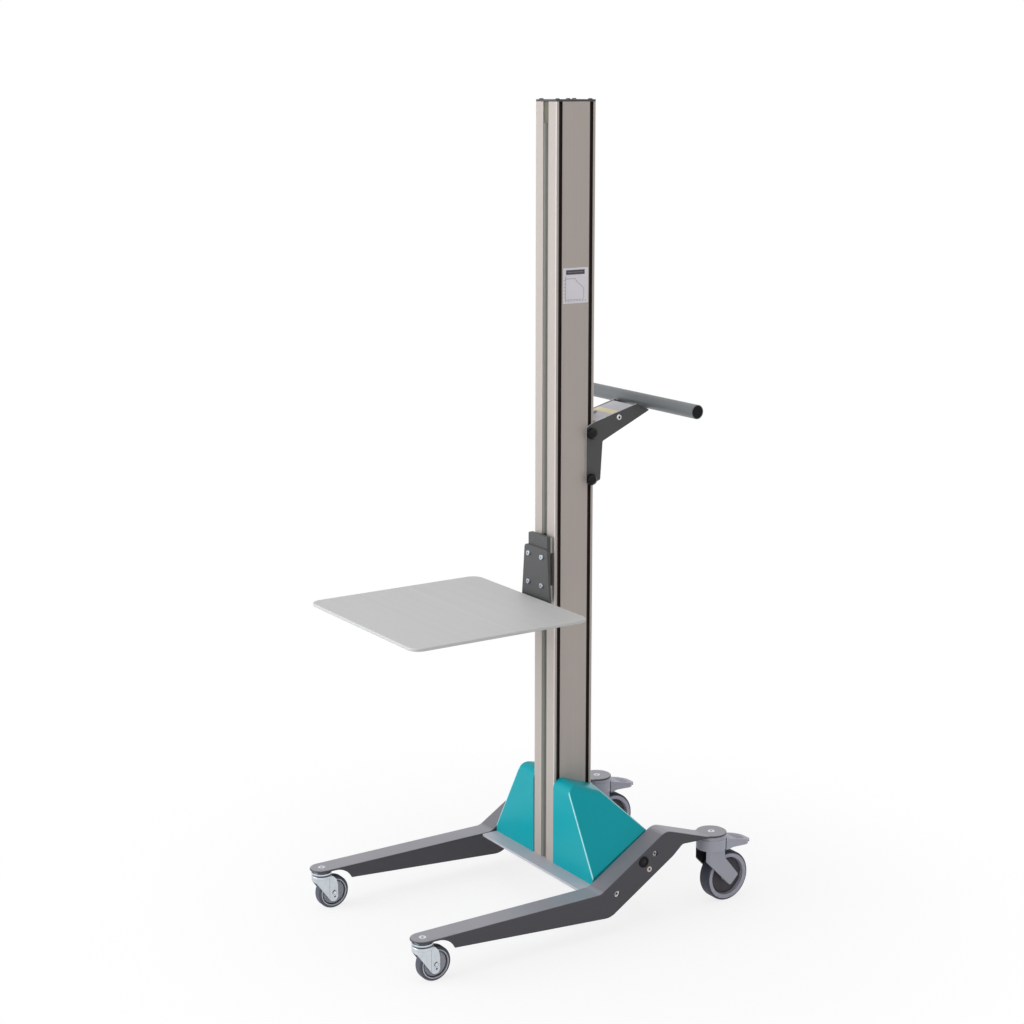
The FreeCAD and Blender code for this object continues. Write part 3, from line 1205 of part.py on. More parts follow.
def brake_pedal():
    """Foot pedal that wraps the back of the housing and carries the brake shoe."""
    y = REAR_SWIVEL_Y
    half = PEDAL_WIDTH / 2
    end = y + PEDAL_REACH
    side = prism_x([
        (y + 22, 135, 3), (y + 50, 139.5, 0), (y + 84, 138, 0), (end, 137.5, 2), (end, 145, 3),
        (y + 60, 158, 20), (y + 22, 166, 2),
    ], LEG_CENTRE - half, LEG_CENTRE + half)
    plan = prism_z([
        (LEG_CENTRE - half, y + 20, 0), (LEG_CENTRE + half, y + 20, 0), (LEG_CENTRE + half, y + 92, 14),
        (LEG_CENTRE + half - 12, end, 16), (LEG_CENTRE - half + 12, end, 16), (LEG_CENTRE - half, y + 92, 14),
    ], 100, 200)
    plate = side.common(plan)
    hollow = prism_x([(y + 44, 120, 0), (end - 5, 120, 0), (end - 5, 142, 0), (y + 58, 153, 0), (y + 44, 156, 0)],
                     LEG_CENTRE - half + 4, LEG_CENTRE + half - 4)
    plate = plate.cut(hollow)
    plate = plate.cut(rod_z(100, 200, LEG_CENTRE, y, HOUSING_RADIUS + 1.5))
    shoe = prism_x([(y + 40, 136, 0), (y + 40, 130, 1.5), (y + 50, 130, 1.5), (y + 50, 142, 0), (y + 40, 142, 0)],
                   LEG_CENTRE - 12, LEG_CENTRE + 12)
    ears = []
    pivot_y = y + PEDAL_PIVOT_Y
    for s in (-1, 1):
        x = sorted((s * 13, s * (ARM_GAP / 2 - SLIDE)))
        ears.append(prism_x([(pivot_y - 5, PEDAL_PIVOT_Z + 5, 4), (pivot_y - 5, PEDAL_PIVOT_Z - 5, 4),
                             (y + 43, PEDAL_PIVOT_Z - 11, 0), (y + 43, PEDAL_PIVOT_Z + 6, 0)],
                            LEG_CENTRE + x[0], LEG_CENTRE + x[1]))
        pin_x = sorted((s * 13, s * (ARM_GAP / 2 + 5 - SLIDE)))
        ears.append(rod_x(LEG_CENTRE + pin_x[0], LEG_CENTRE + pin_x[1], pivot_y, PEDAL_PIVOT_Z, PEDAL_PIN_RADIUS))
    return joined([plate, shoe] + ears)


def rear_tyre():
    """Dark tyre: a flat band with rounded shoulders, moulded on the rim."""
    half = REAR_WHEEL_WIDTH / 2
    r = REAR_WHEEL_RADIUS
    inner = r - REAR_TYRE
    return turned_x([(-half + 1, inner, 0), (-half + 0.5, r - 3.5, 1), (-half + 3, r, 4), (half - 3, r, 4),
                     (half - 0.5, r - 3.5, 1), (half - 1, inner, 0)], LEG_CENTRE, REAR_SWIVEL_Y + REAR_TRAIL, r)


def rear_wheel():
    """Wheel centre with a broad rim, a deeply recessed web and its own axle stubs."""
    r = REAR_WHEEL_RADIUS - REAR_TYRE
    half = REAR_WHEEL_WIDTH / 2
    web = REAR_WEB / 2
    stub = ARM_GAP / 2 + ARM_PLATE - 4 - SLIDE
    face = ARM_GAP / 2 - 0.5
    right = [(stub, 0, 0), (stub, REAR_AXLE_RADIUS, 0), (face, REAR_AXLE_RADIUS, 0), (face, 11, 0), (web, 13, 0),
             (web, r - 11, 0), (half - 1.5, r - 9.5, 0), (half - 0.6, r - 8.5, 0), (half - 0.6, r, 0)]
    left = [(-a, b, c) for a, b, c in reversed(right)]
    return turned_x(right + left, LEG_CENTRE, REAR_SWIVEL_Y + REAR_TRAIL, REAR_WHEEL_RADIUS)


def build():
    os.makedirs("parts", exist_ok=True)
    left_leg = leg()
    plain_leg = left_leg
    sheet_x = LEG_OUTER_X - LEG_SHEET - 1
    left_leg = left_leg.cut(rod_x(sheet_x, LEG_OUTER_X + 1, SOCKET_Y, SOCKET_Z, SOCKET_RADIUS))
    left_leg = left_leg.cut(rod_x(sheet_x, LEG_OUTER_X + 1, LAMP_Y, LAMP_Z, LAMP_RADIUS))
    save("leg_left", left_leg)
    save("leg_right", mirrored(plain_leg))
    save("leg_bolts", *leg_bolts())
    save("base_frame", base_frame())
    save("mast_profile", mast_profile())
    save("mast_cap", mast_cap())
    save("mast_cap_screws", *mast_cap_screws())
    save("idler_yoke", idler_yoke())
    save("idler_pulley", idler_pulley())
    save("drive_pulley", drive_pulley())
    save("drive_bearings", *drive_bearings())
    save("drive_belt", drive_belt())
    save("gearbox", gearbox())
    save("gear_motor", gear_motor())
    save("batteries", *batteries())
    save("controller", controller())
    half_cover = cover_half()
    save("cover_left", half_cover)
    save("cover_right", mirrored(half_cover))
    save("rear_cover", rear_cover())
    save("cover_screws", *cover_screws())
    save("charging_socket", charging_socket())
    save("charge_lamp", charge_lamp())
    save("carriage_body", carriage_body())
    low, high = roller_heights()
    save("lower_rollers", *roller_pair(low))
    save("upper_rollers", *roller_pair(high))
    save("glide_pads", *glide_pads())
    save("belt_clamp", belt_clamp())
    save("platform", platform())
    save("platform_bracket", platform_bracket())
    save("platform_screws", *platform_screws())
    bracket = handle_bracket()
    save("handle_bracket_left", bracket)
    save("handle_bracket_right", mirrored(bracket))
    save("handle_tube", handle_tube())
    save("tube_plugs", *tube_plugs())
    save("control_panel", control_panel())
    save("clamp_nuts", *clamp_nuts())
    for level, height in zip(("lower", "upper"), knob_heights()):
        save("knob_left_" + level, knob(height))
        save("knob_right_" + level, mirrored(knob(height)))
    for name, place in zip(("button_up", "button_down"), button_places()):
        save(name, button(place))
    save("front_kingpins", front_kingpin(), mirrored(front_kingpin()))
    save("rear_kingpins", rear_kingpin(), mirrored(rear_kingpin()))
    castor_parts = {
        "front_fork": front_fork(), "front_axle": front_axle(), "front_tyre": front_tyre(),
        "front_wheel": front_wheel(), "rear_housing": rear_housing(), "brake_pedal": brake_pedal(),
        "rear_tyre": rear_tyre(), "rear_wheel": rear_wheel(),
    }
    for name, shape in castor_parts.items():
        save(name + "_left", shape)
        save(name + "_right", mirrored(shape))


build()
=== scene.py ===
import math

import bmesh
import bpy
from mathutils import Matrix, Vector


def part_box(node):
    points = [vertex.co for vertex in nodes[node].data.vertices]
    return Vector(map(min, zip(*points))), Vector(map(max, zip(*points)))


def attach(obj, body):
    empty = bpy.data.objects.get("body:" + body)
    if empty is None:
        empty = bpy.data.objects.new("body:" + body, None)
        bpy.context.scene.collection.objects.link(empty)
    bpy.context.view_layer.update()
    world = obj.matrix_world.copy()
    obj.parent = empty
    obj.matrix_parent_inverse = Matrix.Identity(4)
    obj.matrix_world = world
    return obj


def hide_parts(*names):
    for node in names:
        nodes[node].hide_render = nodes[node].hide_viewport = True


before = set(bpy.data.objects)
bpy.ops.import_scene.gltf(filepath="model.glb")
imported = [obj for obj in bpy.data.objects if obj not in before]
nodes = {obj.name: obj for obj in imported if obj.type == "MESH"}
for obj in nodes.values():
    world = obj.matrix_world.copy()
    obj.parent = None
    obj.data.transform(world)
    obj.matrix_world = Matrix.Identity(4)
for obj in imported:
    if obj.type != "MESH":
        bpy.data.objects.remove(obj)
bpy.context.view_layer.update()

MM = 0.001
QUARTER_TURN = math.radians(90)
SIDES = (("left", 1), ("right", -1))
MAST_Y = (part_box("mast_profile")[0][1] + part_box("mast_profile")[1][1]) / 2 / MM


def place(x, y, z):
    """Point in the frame, from millimetres off the mast's centre line and above the floor."""
    return Vector((x * MM, (y + MAST_Y) * MM, z * MM))


def box_of(node):
    """Lowest, middle and highest corner of a solid, in millimetres off the mast's centre line."""
    low, high = (Vector(corner) / MM - Vector((0, MAST_Y, 0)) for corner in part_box(node))
    return low, (low + high) / 2, high


def linear(red, green, blue):
    """Scene colour of a screen colour given as 0 to 255."""
    def channel(value):
        value = value / 255
        return value / 12.92 if value <= 0.04045 else ((value + 0.055) / 1.055) ** 2.4
    return (channel(red), channel(green), channel(blue), 1.0)


# Nodes, for materials and for geometry

SOCKET_KINDS = {float: "NodeSocketFloat", int: "NodeSocketInt", tuple: "NodeSocketVector"}


def add_node(tree, kind, links=None, **settings):
    """Adds a node; links maps its inputs to sockets or plain values."""
    node = tree.nodes.new(kind)
    for label, value in settings.items():
        setattr(node, label, value)
    for label, value in (links or {}).items():
        if isinstance(value, bpy.types.NodeSocket):
            tree.links.new(value, node.inputs[label])
        else:
            node.inputs[label].default_value = value
    return node


def math_node(tree, operation, *values, clamp=False):
    node = add_node(tree, "ShaderNodeMath", dict(enumerate(values)), operation=operation, use_clamp=clamp)
    return node.outputs[0]


def vector_math(tree, operation, *vectors):
    return add_node(tree, "ShaderNodeVectorMath", dict(enumerate(vectors)), operation=operation).outputs


def add_inputs(tree, sizes):
    """Named inputs of a group or tree; the kind of each follows from its default value."""
    for label, value in sizes.items():
        socket = tree.interface.new_socket(label, in_out="INPUT", socket_type=SOCKET_KINDS[type(value)])
        socket.default_value = value


def new_tree_of(material_or_world):
    material_or_world.use_nodes = True
    tree = material_or_world.node_tree
    tree.nodes.clear()
    return tree


# Camera, at the photograph's viewing angle

CAMERA_PLACE = Vector((3.8663, -2.58195, 1.9963))
CAMERA_TURN = math.radians(56.849)
CAMERA_TILT = math.radians(10.4534)
CAMERA_LENS = 69.86
CAMERA_SHIFT = -0.0606


def make_camera():
    data = bpy.data.cameras.new("camera")
    data.sensor_width = 36
    data.lens = CAMERA_LENS
    data.shift_y = CAMERA_SHIFT
    data.clip_start = 0.05
    data.clip_end = 100
    camera = bpy.data.objects.new("camera", data)
    level = math.cos(CAMERA_TILT)
    back = Vector((math.sin(CAMERA_TURN) * level, -math.cos(CAMERA_TURN) * level, math.sin(CAMERA_TILT)))
    camera.location = CAMERA_PLACE
    camera.rotation_mode = "QUATERNION"
    camera.rotation_quaternion = (-back).to_track_quat("-Z", "Y")
    bpy.context.scene.collection.objects.link(camera)
    bpy.context.scene.camera = camera


# Studio: floor, world and lamps

WHITE = (1.0, 1.0, 1.0, 1.0)
FLOOR_HALF = 20.0
FLOOR_COLOUR = linear(253, 253, 253)
FLOOR_GLOW = 0.8
FLOOR_NEAR = 0.4
FLOOR_FAR = 1.4
WORLD_COLOUR = linear(246, 247, 250)
WORLD_LEVEL = 0.46
OBJECT_MIDDLE = (0.0, 0.0, 0.9)


def seen_directly(tree):
    """1 for the rays that show the backdrop: from the camera, off metal and through glass."""
    path = tree.nodes.new("ShaderNodeLightPath").outputs
    either = math_node(tree, "MAXIMUM", path["Is Camera Ray"], path["Is Glossy Ray"])
    return math_node(tree, "MAXIMUM", either, path["Is Transmission Ray"])


def make_floor():
    """White floor that keeps the object's shadow; it glows a little less close to the object."""
    mesh = bpy.data.meshes.new("floor")
    corners = [(x * FLOOR_HALF, y * FLOOR_HALF, 0) for x, y in ((-1, -1), (1, -1), (1, 1), (-1, 1))]
    mesh.from_pydata(corners, [], [(0, 1, 2, 3)])
    floor = bpy.data.objects.new("floor", mesh)
    bpy.context.scene.collection.objects.link(floor)
    material = bpy.data.materials.new("studio_floor")
    tree = new_tree_of(material)
    paint = add_node(tree, "ShaderNodeBsdfDiffuse", {"Color": FLOOR_COLOUR})
    glow = add_node(tree, "ShaderNodeEmission", {"Color": WHITE, "Strength": 1.0})
    coordinates = add_node(tree, "ShaderNodeTexCoord")
    reach = vector_math(tree, "LENGTH", coordinates.outputs["Object"])["Value"]
    ramp = {"From Min": FLOOR_NEAR, "From Max": FLOOR_FAR, "To Min": FLOOR_GLOW, "To Max": 1.0, "Value": reach}
    far = add_node(tree, "ShaderNodeMapRange", ramp, interpolation_type="SMOOTHSTEP")
    share = math_node(tree, "MULTIPLY", seen_directly(tree), far.outputs["Result"])
    mix = add_node(tree, "ShaderNodeMixShader", {"Fac": share, 1: paint.outputs[0], 2: glow.outputs[0]})
    add_node(tree, "ShaderNodeOutputMaterial", {"Surface": mix.outputs[0]})
    mesh.materials.append(material)


def make_world():
    world = bpy.data.worlds.new("studio")
    bpy.context.scene.world = world
    tree = new_tree_of(world)
    plain = add_node(tree, "ShaderNodeBackground", {"Color": WORLD_COLOUR, "Strength": WORLD_LEVEL})
    white = add_node(tree, "ShaderNodeBackground", {"Color": WHITE, "Strength": 1.0})
    links = {"Fac": seen_directly(tree), 1: plain.outputs[0], 2: white.outputs[0]}
    mix = add_node(tree, "ShaderNodeMixShader", links)
    add_node(tree, "ShaderNodeOutputWorld", {"Surface": mix.outputs[0]})


def make_lamp(name, where, target, width, height, power, colour=WHITE[:3]):
    data = bpy.data.lights.new(name, "AREA")
    data.color = colour
    data.shape = "RECTANGLE"
    data.size = width
    data.size_y = height
    data.energy = power
    lamp = bpy.data.objects.new(name, data)
    lamp.location = where
    lamp.rotation_mode = "QUATERNION"
    lamp.rotation_quaternion = (Vector(target) - Vector(where)).to_track_quat("-Z", "Y")
    bpy.context.scene.collection.objects.link(lamp)


def make_lamps():
    make_lamp("front_softbox", (-1.4, -4.6, 1.9), OBJECT_MIDDLE, 4.6, 3.4, 176, (0.945, 0.972, 1.0))
    make_lamp("overhead_softbox", (0.2, -0.4, 4.8), (0, 0, 0), 4.4, 4.4, 66)
    make_lamp("side_softbox", (4.4, 1.2, 2.2), OBJECT_MIDDLE, 1.6, 2.8, 8, (1.0, 0.95, 0.9))


# Shader groups that several finishes share

WEAR_AND_PAINTED_LIGHT_GAIN = 9.0
DUST_FADE = 7.0


def new_group(name, sizes, results):
    """Shader group with named inputs; results maps each output to its kind, float or tuple."""
    group = bpy.data.node_groups.new(name, "ShaderNodeTree")
    add_inputs(group, sizes)
    for label, kind in results.items():
        group.interface.new_socket(label, in_out="OUTPUT", socket_type=SOCKET_KINDS[kind])
    return group, group.nodes.new("NodeGroupInput").outputs, group.nodes.new("NodeGroupOutput").inputs


def object_place(tree):
    return tree.nodes.new("ShaderNodeTexCoord").outputs["Object"]


def noise(tree, scale, detail=2.0, where=None):
    links = {"Vector": where or object_place(tree), "Scale": scale, "Detail": detail}
    return add_node(tree, "ShaderNodeTexNoise", links).outputs["Fac"]


def split_axes(tree, vector):
    return add_node(tree, "ShaderNodeSeparateXYZ", {0: vector}).outputs


def soft_inside(tree, depth, soft):
    """1 well inside an edge and 0 well outside it; depth is the distance in from the edge."""
    return math_node(tree, "ADD", math_node(tree, "DIVIDE", depth, soft), 0.5, clamp=True)


def eased_edges_group():
    """Rounded shading of the outer edges, and a mask of them broken up by noise: scuffed edges on paint and
    plastic, a painted highlight on the cover's edges, painted shade on the zinc's edges.
    """
    sizes = {"Width": 0.0015, "Break up": 60.0}
    group, size, result = new_group("eased_edges", sizes, {"Mask": float, "Normal": tuple})
    rounded = add_node(group, "ShaderNodeBevel", {"Radius": size["Width"]}, samples=4).outputs["Normal"]
    flat = group.nodes.new("ShaderNodeNewGeometry").outputs["Normal"]
    level = vector_math(group, "DOT_PRODUCT", rounded, flat)["Value"]
    sharp = math_node(group, "SUBTRACT", 1.0, level, clamp=True)
    patches = math_node(group, "MULTIPLY", noise(group, size["Break up"], 4.0), WEAR_AND_PAINTED_LIGHT_GAIN)
    group.links.new(math_node(group, "MULTIPLY", sharp, patches, clamp=True), result["Mask"])
    group.links.new(rounded, result["Normal"])
    return group


def folded_side(group):
    """Object coordinates in which the right half lies on the left half."""
    axes = split_axes(group, object_place(group))
    side = math_node(group, "ABSOLUTE", axes["X"])
    return add_node(group, "ShaderNodeCombineXYZ", {"X": side, "Y": axes["Y"], "Z": axes["Z"]}).outputs[0]


def painted_light_line_group():
    """1 along a straight line of the left half and of the right half, broken up a little by noise; it carries
    the painted highlight on the cover's ridge and the painted shade in the bushes' bore.
    """
    sizes = {"Point": (0.0, 0.0, 0.0), "Along": (0.0, 0.0, 1.0), "Half width": 0.001, "Soft": 0.001}
    group, size, result = new_group("rubbed_line", sizes, {"Mask": float})
    offset = vector_math(group, "SUBTRACT", folded_side(group), size["Point"])[0]
    across = vector_math(group, "CROSS_PRODUCT", offset, size["Along"])[0]
    away = vector_math(group, "LENGTH", across)["Value"]
    depth = math_node(group, "SUBTRACT", size["Half width"], away)
    patchy = math_node(group, "MULTIPLY_ADD", noise(group, 30.0), 0.5, 0.75, clamp=True)
    mask = math_node(group, "MULTIPLY", soft_inside(group, depth, size["Soft"]), patchy)
    group.links.new(mask, result["Mask"])
    return group


def face_direction_group():
    """Faces that look along a direction, and faces that look across it."""
    sizes = {"Direction": (0.0, 0.0, 1.0), "From": 0.5, "To": 0.9}
    group, size, result = new_group("face_direction", sizes, {"Along": float, "Across": float})
    normal = group.nodes.new("ShaderNodeTexCoord").outputs["Normal"]
    along = vector_math(group, "DOT_PRODUCT", normal, size["Direction"])["Value"]
    across = math_node(group, "SUBTRACT", 1.0, math_node(group, "ABSOLUTE", along))
    span = math_node(group, "SUBTRACT", size["To"], size["From"])
    for label, value in (("Along", along), ("Across", across)):
        share = math_node(group, "SUBTRACT", value, size["From"])
        group.links.new(math_node(group, "DIVIDE", share, span, clamp=True), result[label])
    return group


def mirrored_zone_group():
    """1 inside a box that repeats round a centre point, on the left half and on the right half."""
    sizes = {"Centre": (0.0, 0.0, 0.0), "Low": (0.0, 0.0, 0.0), "High": (1.0, 1.0, 1.0), "Soft": 0.001}
    group, size, result = new_group("mirrored_zone", sizes, {"Mask": float})
    offset = vector_math(group, "SUBTRACT", folded_side(group), size["Centre"])[0]
    at = split_axes(group, vector_math(group, "ABSOLUTE", offset)[0])
    low = split_axes(group, size["Low"])
    high = split_axes(group, size["High"])
    mask = 1.0
    for axis in range(3):
        above = math_node(group, "SUBTRACT", at[axis], low[axis])
        below = math_node(group, "SUBTRACT", high[axis], at[axis])
        inside = soft_inside(group, math_node(group, "MINIMUM", above, below), size["Soft"])
        mask = math_node(group, "MULTIPLY", inside, mask)
    group.links.new(mask, result["Mask"])
    return group


def fine_grain_group():
    """Even moulded or powder texture: a height for bump and a mottling between 0 and 1."""
    sizes = {"Grain scale": 900.0, "Mottle scale": 12.0}
    group, size, result = new_group("fine_grain", sizes, {"Height": float, "Mottle": float})
    group.links.new(noise(group, size["Grain scale"], 2.0), result["Height"])
    group.links.new(noise(group, size["Mottle scale"], 5.0), result["Mottle"])
    return group


def drawn_lines_group():
    """Fine parallel lines along one axis, as brushing or an extrusion die leaves, and slow bands."""
    sizes = {"Stretch": (900.0, 900.0, 3.0)}
    group, size, result = new_group("drawn_lines", sizes, {"Lines": float, "Bands": float})
    stretched = vector_math(group, "MULTIPLY", object_place(group), size["Stretch"])[0]
    group.links.new(noise(group, 1.0, 4.0, stretched), result["Lines"])
    group.links.new(noise(group, 0.06, 2.0, stretched), result["Bands"])
    return group


def low_dust_group():
    """Dust that settles near the floor, in patches."""
    group, size, result = new_group("low_dust", {"Top": 0.12, "Amount": 0.3}, {"Mask": float})
    below = math_node(group, "SUBTRACT", size["Top"], split_axes(group, object_place(group))["Z"])
    near = math_node(group, "MULTIPLY", below, DUST_FADE, clamp=True)
    patch = math_node(group, "MULTIPLY", near, noise(group, 35.0, 6.0))
    group.links.new(math_node(group, "MULTIPLY", patch, size["Amount"]), result["Mask"])
    return group


GROUPS = {
    "eased_edges": eased_edges_group(),
    "mirrored_zone": mirrored_zone_group(),
    "rubbed_line": painted_light_line_group(),
    "face_direction": face_direction_group(),
    "fine_grain": fine_grain_group(),
    "drawn_lines": drawn_lines_group(),
    "low_dust": low_dust_group(),
}


def use_group(tree, name, **values):
    """Places a shared group and gives its outputs; a space in an input's name is written as _."""
    node = tree.nodes.new("ShaderNodeGroup")
    node.node_tree = GROUPS[name]
    for label, value in values.items():
        node.inputs[label.replace("_", " ")].default_value = value
    return node.outputs


# Parts of a finish. A colour is a socket, three screen values, or four scene values.

FINISHES = {}


def new_finish(name, metallic=0.0, gloss=0.5):
    """Material with a Principled shader, kept in FINISHES."""
    material = bpy.data.materials.new(name)
    tree = new_tree_of(material)
    plain = {"Metallic": metallic, "Specular IOR Level": gloss}
    shader = add_node(tree, "ShaderNodeBsdfPrincipled", plain)
    add_node(tree, "ShaderNodeOutputMaterial", {"Surface": shader.outputs[0]})
    FINISHES[name] = material
    return tree, shader.inputs


def scene_colour(colour):
    return linear(*colour) if isinstance(colour, tuple) and len(colour) == 3 else colour


def darker(colour, share):
    return tuple(share * c for c in linear(*colour)[:3]) + (1.0,)


def blend_colour(tree, factor, first, second):
    links = {"Factor": factor, 6: scene_colour(first), 7: scene_colour(second)}
    return add_node(tree, "ShaderNodeMix", links, data_type="RGBA").outputs[2]


def mottled(tree, grain, colour, share):
    """A colour that drifts between itself and a darker one."""
    return blend_colour(tree, grain["Mottle"], darker(colour, share), colour)


def spread(tree, value, low, high):
    """Moves a value between 0 and 1 to the range from low to high."""
    return math_node(tree, "MULTIPLY_ADD", value, high - low, low)


def finish_surface(tree, shader, base, rough, height, strength, distance, normal=None):
    """Wires the colour, the roughness and a bump to the shader."""
    tree.links.new(base, shader["Base Color"])
    tree.links.new(rough, shader["Roughness"])
    links = {"Strength": strength, "Distance": distance, "Height": height}
    if normal is not None:
        links["Normal"] = normal
    tree.links.new(add_node(tree, "ShaderNodeBump", links).outputs["Normal"], shader["Normal"])


# Places on the solids where a finish changes

ALL = (-1000.0, 5000.0)


def zone(centre, x=ALL, y=ALL, z=ALL, soft=0.4):
    """Values of mirrored_zone, in millimetres; x, y and z are the reach on either side of the centre."""
    low, high = zip(x, y, z)
    return {"Centre": place(*centre), "Low": Vector(low) * MM, "High": Vector(high) * MM, "Soft": soft * MM}


def line(point, along, half_width, soft):
    """Values of rubbed_line, in millimetres."""
    return {"Point": place(*point), "Along": along, "Half width": half_width * MM, "Soft": soft * MM}


# Painted highlight on the mast's corners, and painted shade in its side slots
MAST_CORNERS = zone((0, 0, 0), x=(41.2, 100), y=(54.1, 100), soft=0.6)
SIDE_SLOTS = zone((0, 0, 0), x=(0, 42.4), y=(34.9, 52.1))
# Painted highlight along the cover's ridge
COVER_RIDGE = line((214.8, -57.3, 119), (-0.488, 0.0, 0.8729), 1.6, 1.6)
# Painted shade in the grooves of the fork head and along the fork's crease
HEAD_GROOVES = zone((242.5, -549, 95.7), z=(2.8, 5.6), soft=0.6)
FORK_CREASE = zone((242.5, -536, 40), x=(15.5, 50), y=(-1000, 0.5), z=(-1000, 43), soft=0.6)
# Painted shade inside the rear housing
HOUSING_INSIDE = zone((242.5, 278.5, 70), x=(-1000, 20.3), y=(-1000, 1000), z=(-1000, 72.2))
BUSH_ENDS = zone((0, 0, 0), x=(43.7, 1000), soft=0.2)
# Painted shade in the bore of the panel's bushes
BUSH_BORE = line((0, 128, 1203.8), (1.0, 0.0, 0.0), 3.1, 0.4)

# Colours of painted shade and painted highlight; the dust colours below are real dust
SLOT_SHADE = (58, 46, 42)
CORNER_PAINTED_HIGHLIGHT = (226, 221, 218)
GROOVE_PAINTED_SHADE = (52, 54, 60)
HOLLOW_PAINTED_SHADE = (40, 38, 42)
BORE_PAINTED_SHADE = (36, 32, 34)
METAL_DUST = (150, 148, 144)
PLASTIC_DUST = (168, 165, 160)
RUBBER_DUST = (140, 138, 136)


# Finishes, one function for each family


def powder_coat(name, colour, wear_and_highlight, rough=0.5, wear_and_highlight_share=0.35, gloss=0.5, edge_width=1.2, top=None,
                cut_edge=None, ridge=None):
    """Sprayed and baked paint: a little orange peel, and edges that catch the light.

    top is the colour of faces that look up, painted lighter as light from above; cut_edge that of the
    sawn edges of an upright plate; ridge the line of a folded edge, painted pale as a highlight.
    """
    tree, shader = new_finish(name, gloss=gloss)
    grain = use_group(tree, "fine_grain", Grain_scale=1400.0, Mottle_scale=9.0)
    edges = use_group(tree, "eased_edges", Width=edge_width * MM, Break_up=45.0)
    base = mottled(tree, grain, colour, 0.92)
    # Painted light: faces that look up are lighter, as if lit from above
    if top is not None:
        upward = use_group(tree, "face_direction", Direction=(0.0, 0.0, 1.0), From=0.72, To=0.98)
        patchy = spread(tree, grain["Mottle"], 0.75, 1.1)
        base = blend_colour(tree, math_node(tree, "MULTIPLY", upward["Along"], patchy, clamp=True), base, top)
    if cut_edge is not None:
        sawn = use_group(tree, "face_direction", Direction=(1.0, 0.0, 0.0), From=0.5, To=0.9)
        base = blend_colour(tree, sawn["Across"], base, cut_edge)
    # Painted highlight along the ridge
    if ridge is not None:
        base = blend_colour(tree, use_group(tree, "rubbed_line", **ridge)["Mask"], base, wear_and_highlight)
    # Pale edges: scuffs on most coats, a painted highlight on the cover
    base = blend_colour(tree, math_node(tree, "MULTIPLY", edges["Mask"], wear_and_highlight_share), base, wear_and_highlight)
    uneven = spread(tree, grain["Mottle"], rough - 0.06, rough + 0.06)
    finish_surface(tree, shader, base, uneven, grain["Height"], 0.12, 0.0004, edges["Normal"])


def drawn_metal(name, dark, light, rough, stretch, metallic=1.0, slotted=False):
    """Metal with fine lines along one axis; slotted adds painted shade in the mast's side slots and a painted
    highlight on its corners.
    """
    tree, shader = new_finish(name, metallic)
    lines = use_group(tree, "drawn_lines", Stretch=stretch)
    cloud = use_group(tree, "fine_grain", Grain_scale=300.0, Mottle_scale=4.0)
    edges = use_group(tree, "eased_edges", Width=0.8 * MM, Break_up=80.0)
    bands = math_node(tree, "MULTIPLY", lines["Bands"], 0.4)
    streak = math_node(tree, "MULTIPLY_ADD", lines["Lines"], 0.6, bands)
    base = blend_colour(tree, streak, dark, light)
    uneven = math_node(tree, "MULTIPLY_ADD", cloud["Mottle"], 0.4, streak)
    if slotted:
        # Painted highlight on the corners; painted shade in the side slots, where the metal is also dull
        corner = use_group(tree, "mirrored_zone", **MAST_CORNERS)["Mask"]
        slot = use_group(tree, "mirrored_zone", **SIDE_SLOTS)["Mask"]
        base = blend_colour(tree, slot, blend_colour(tree, corner, base, CORNER_PAINTED_HIGHLIGHT), SLOT_SHADE)
        bare = math_node(tree, "SUBTRACT", 1.0, slot)
        tree.links.new(math_node(tree, "MULTIPLY", bare, metallic), shader["Metallic"])
        uneven = math_node(tree, "MAXIMUM", uneven, math_node(tree, "MULTIPLY", slot, 3.0))
    uneven = spread(tree, uneven, rough - 0.1, rough + 0.08)
    finish_surface(tree, shader, base, uneven, lines["Lines"], 0.06, 0.0003, edges["Normal"])


def bright_zinc(name, dark, light, rough=0.3, painted_shade_zones=(), crease_shade_share=0.55):
    """Zinc plating: cloudy, slightly blue, with dust low down; painted shade in the given grooves and creases,
    and darker edges as painted shade.
    """
    tree, shader = new_finish(name, 1.0)
    cloud = use_group(tree, "fine_grain", Grain_scale=420.0, Mottle_scale=70.0)
    edges = use_group(tree, "eased_edges", Width=1.0 * MM, Break_up=90.0)
    dust = use_group(tree, "low_dust", Top=0.1, Amount=0.25)
    base = blend_colour(tree, cloud["Mottle"], dark, light)
    base = blend_colour(tree, dust["Mask"], base, METAL_DUST)
    # Painted shade in grooves and along creases
    for groove, share in painted_shade_zones:
        mask = use_group(tree, "mirrored_zone", **groove)["Mask"]
        base = blend_colour(tree, math_node(tree, "MULTIPLY", mask, share), base, GROOVE_PAINTED_SHADE)
    # Painted shade: the edges and creases are darkened
    crease = math_node(tree, "MULTIPLY", edges["Mask"], crease_shade_share)
    base = blend_colour(tree, crease, base, darker(dark, 0.3))
    uneven = spread(tree, cloud["Mottle"], rough - 0.08, rough + 0.14)
    finish_surface(tree, shader, base, uneven, cloud["Height"], 0.05, 0.0002, edges["Normal"])


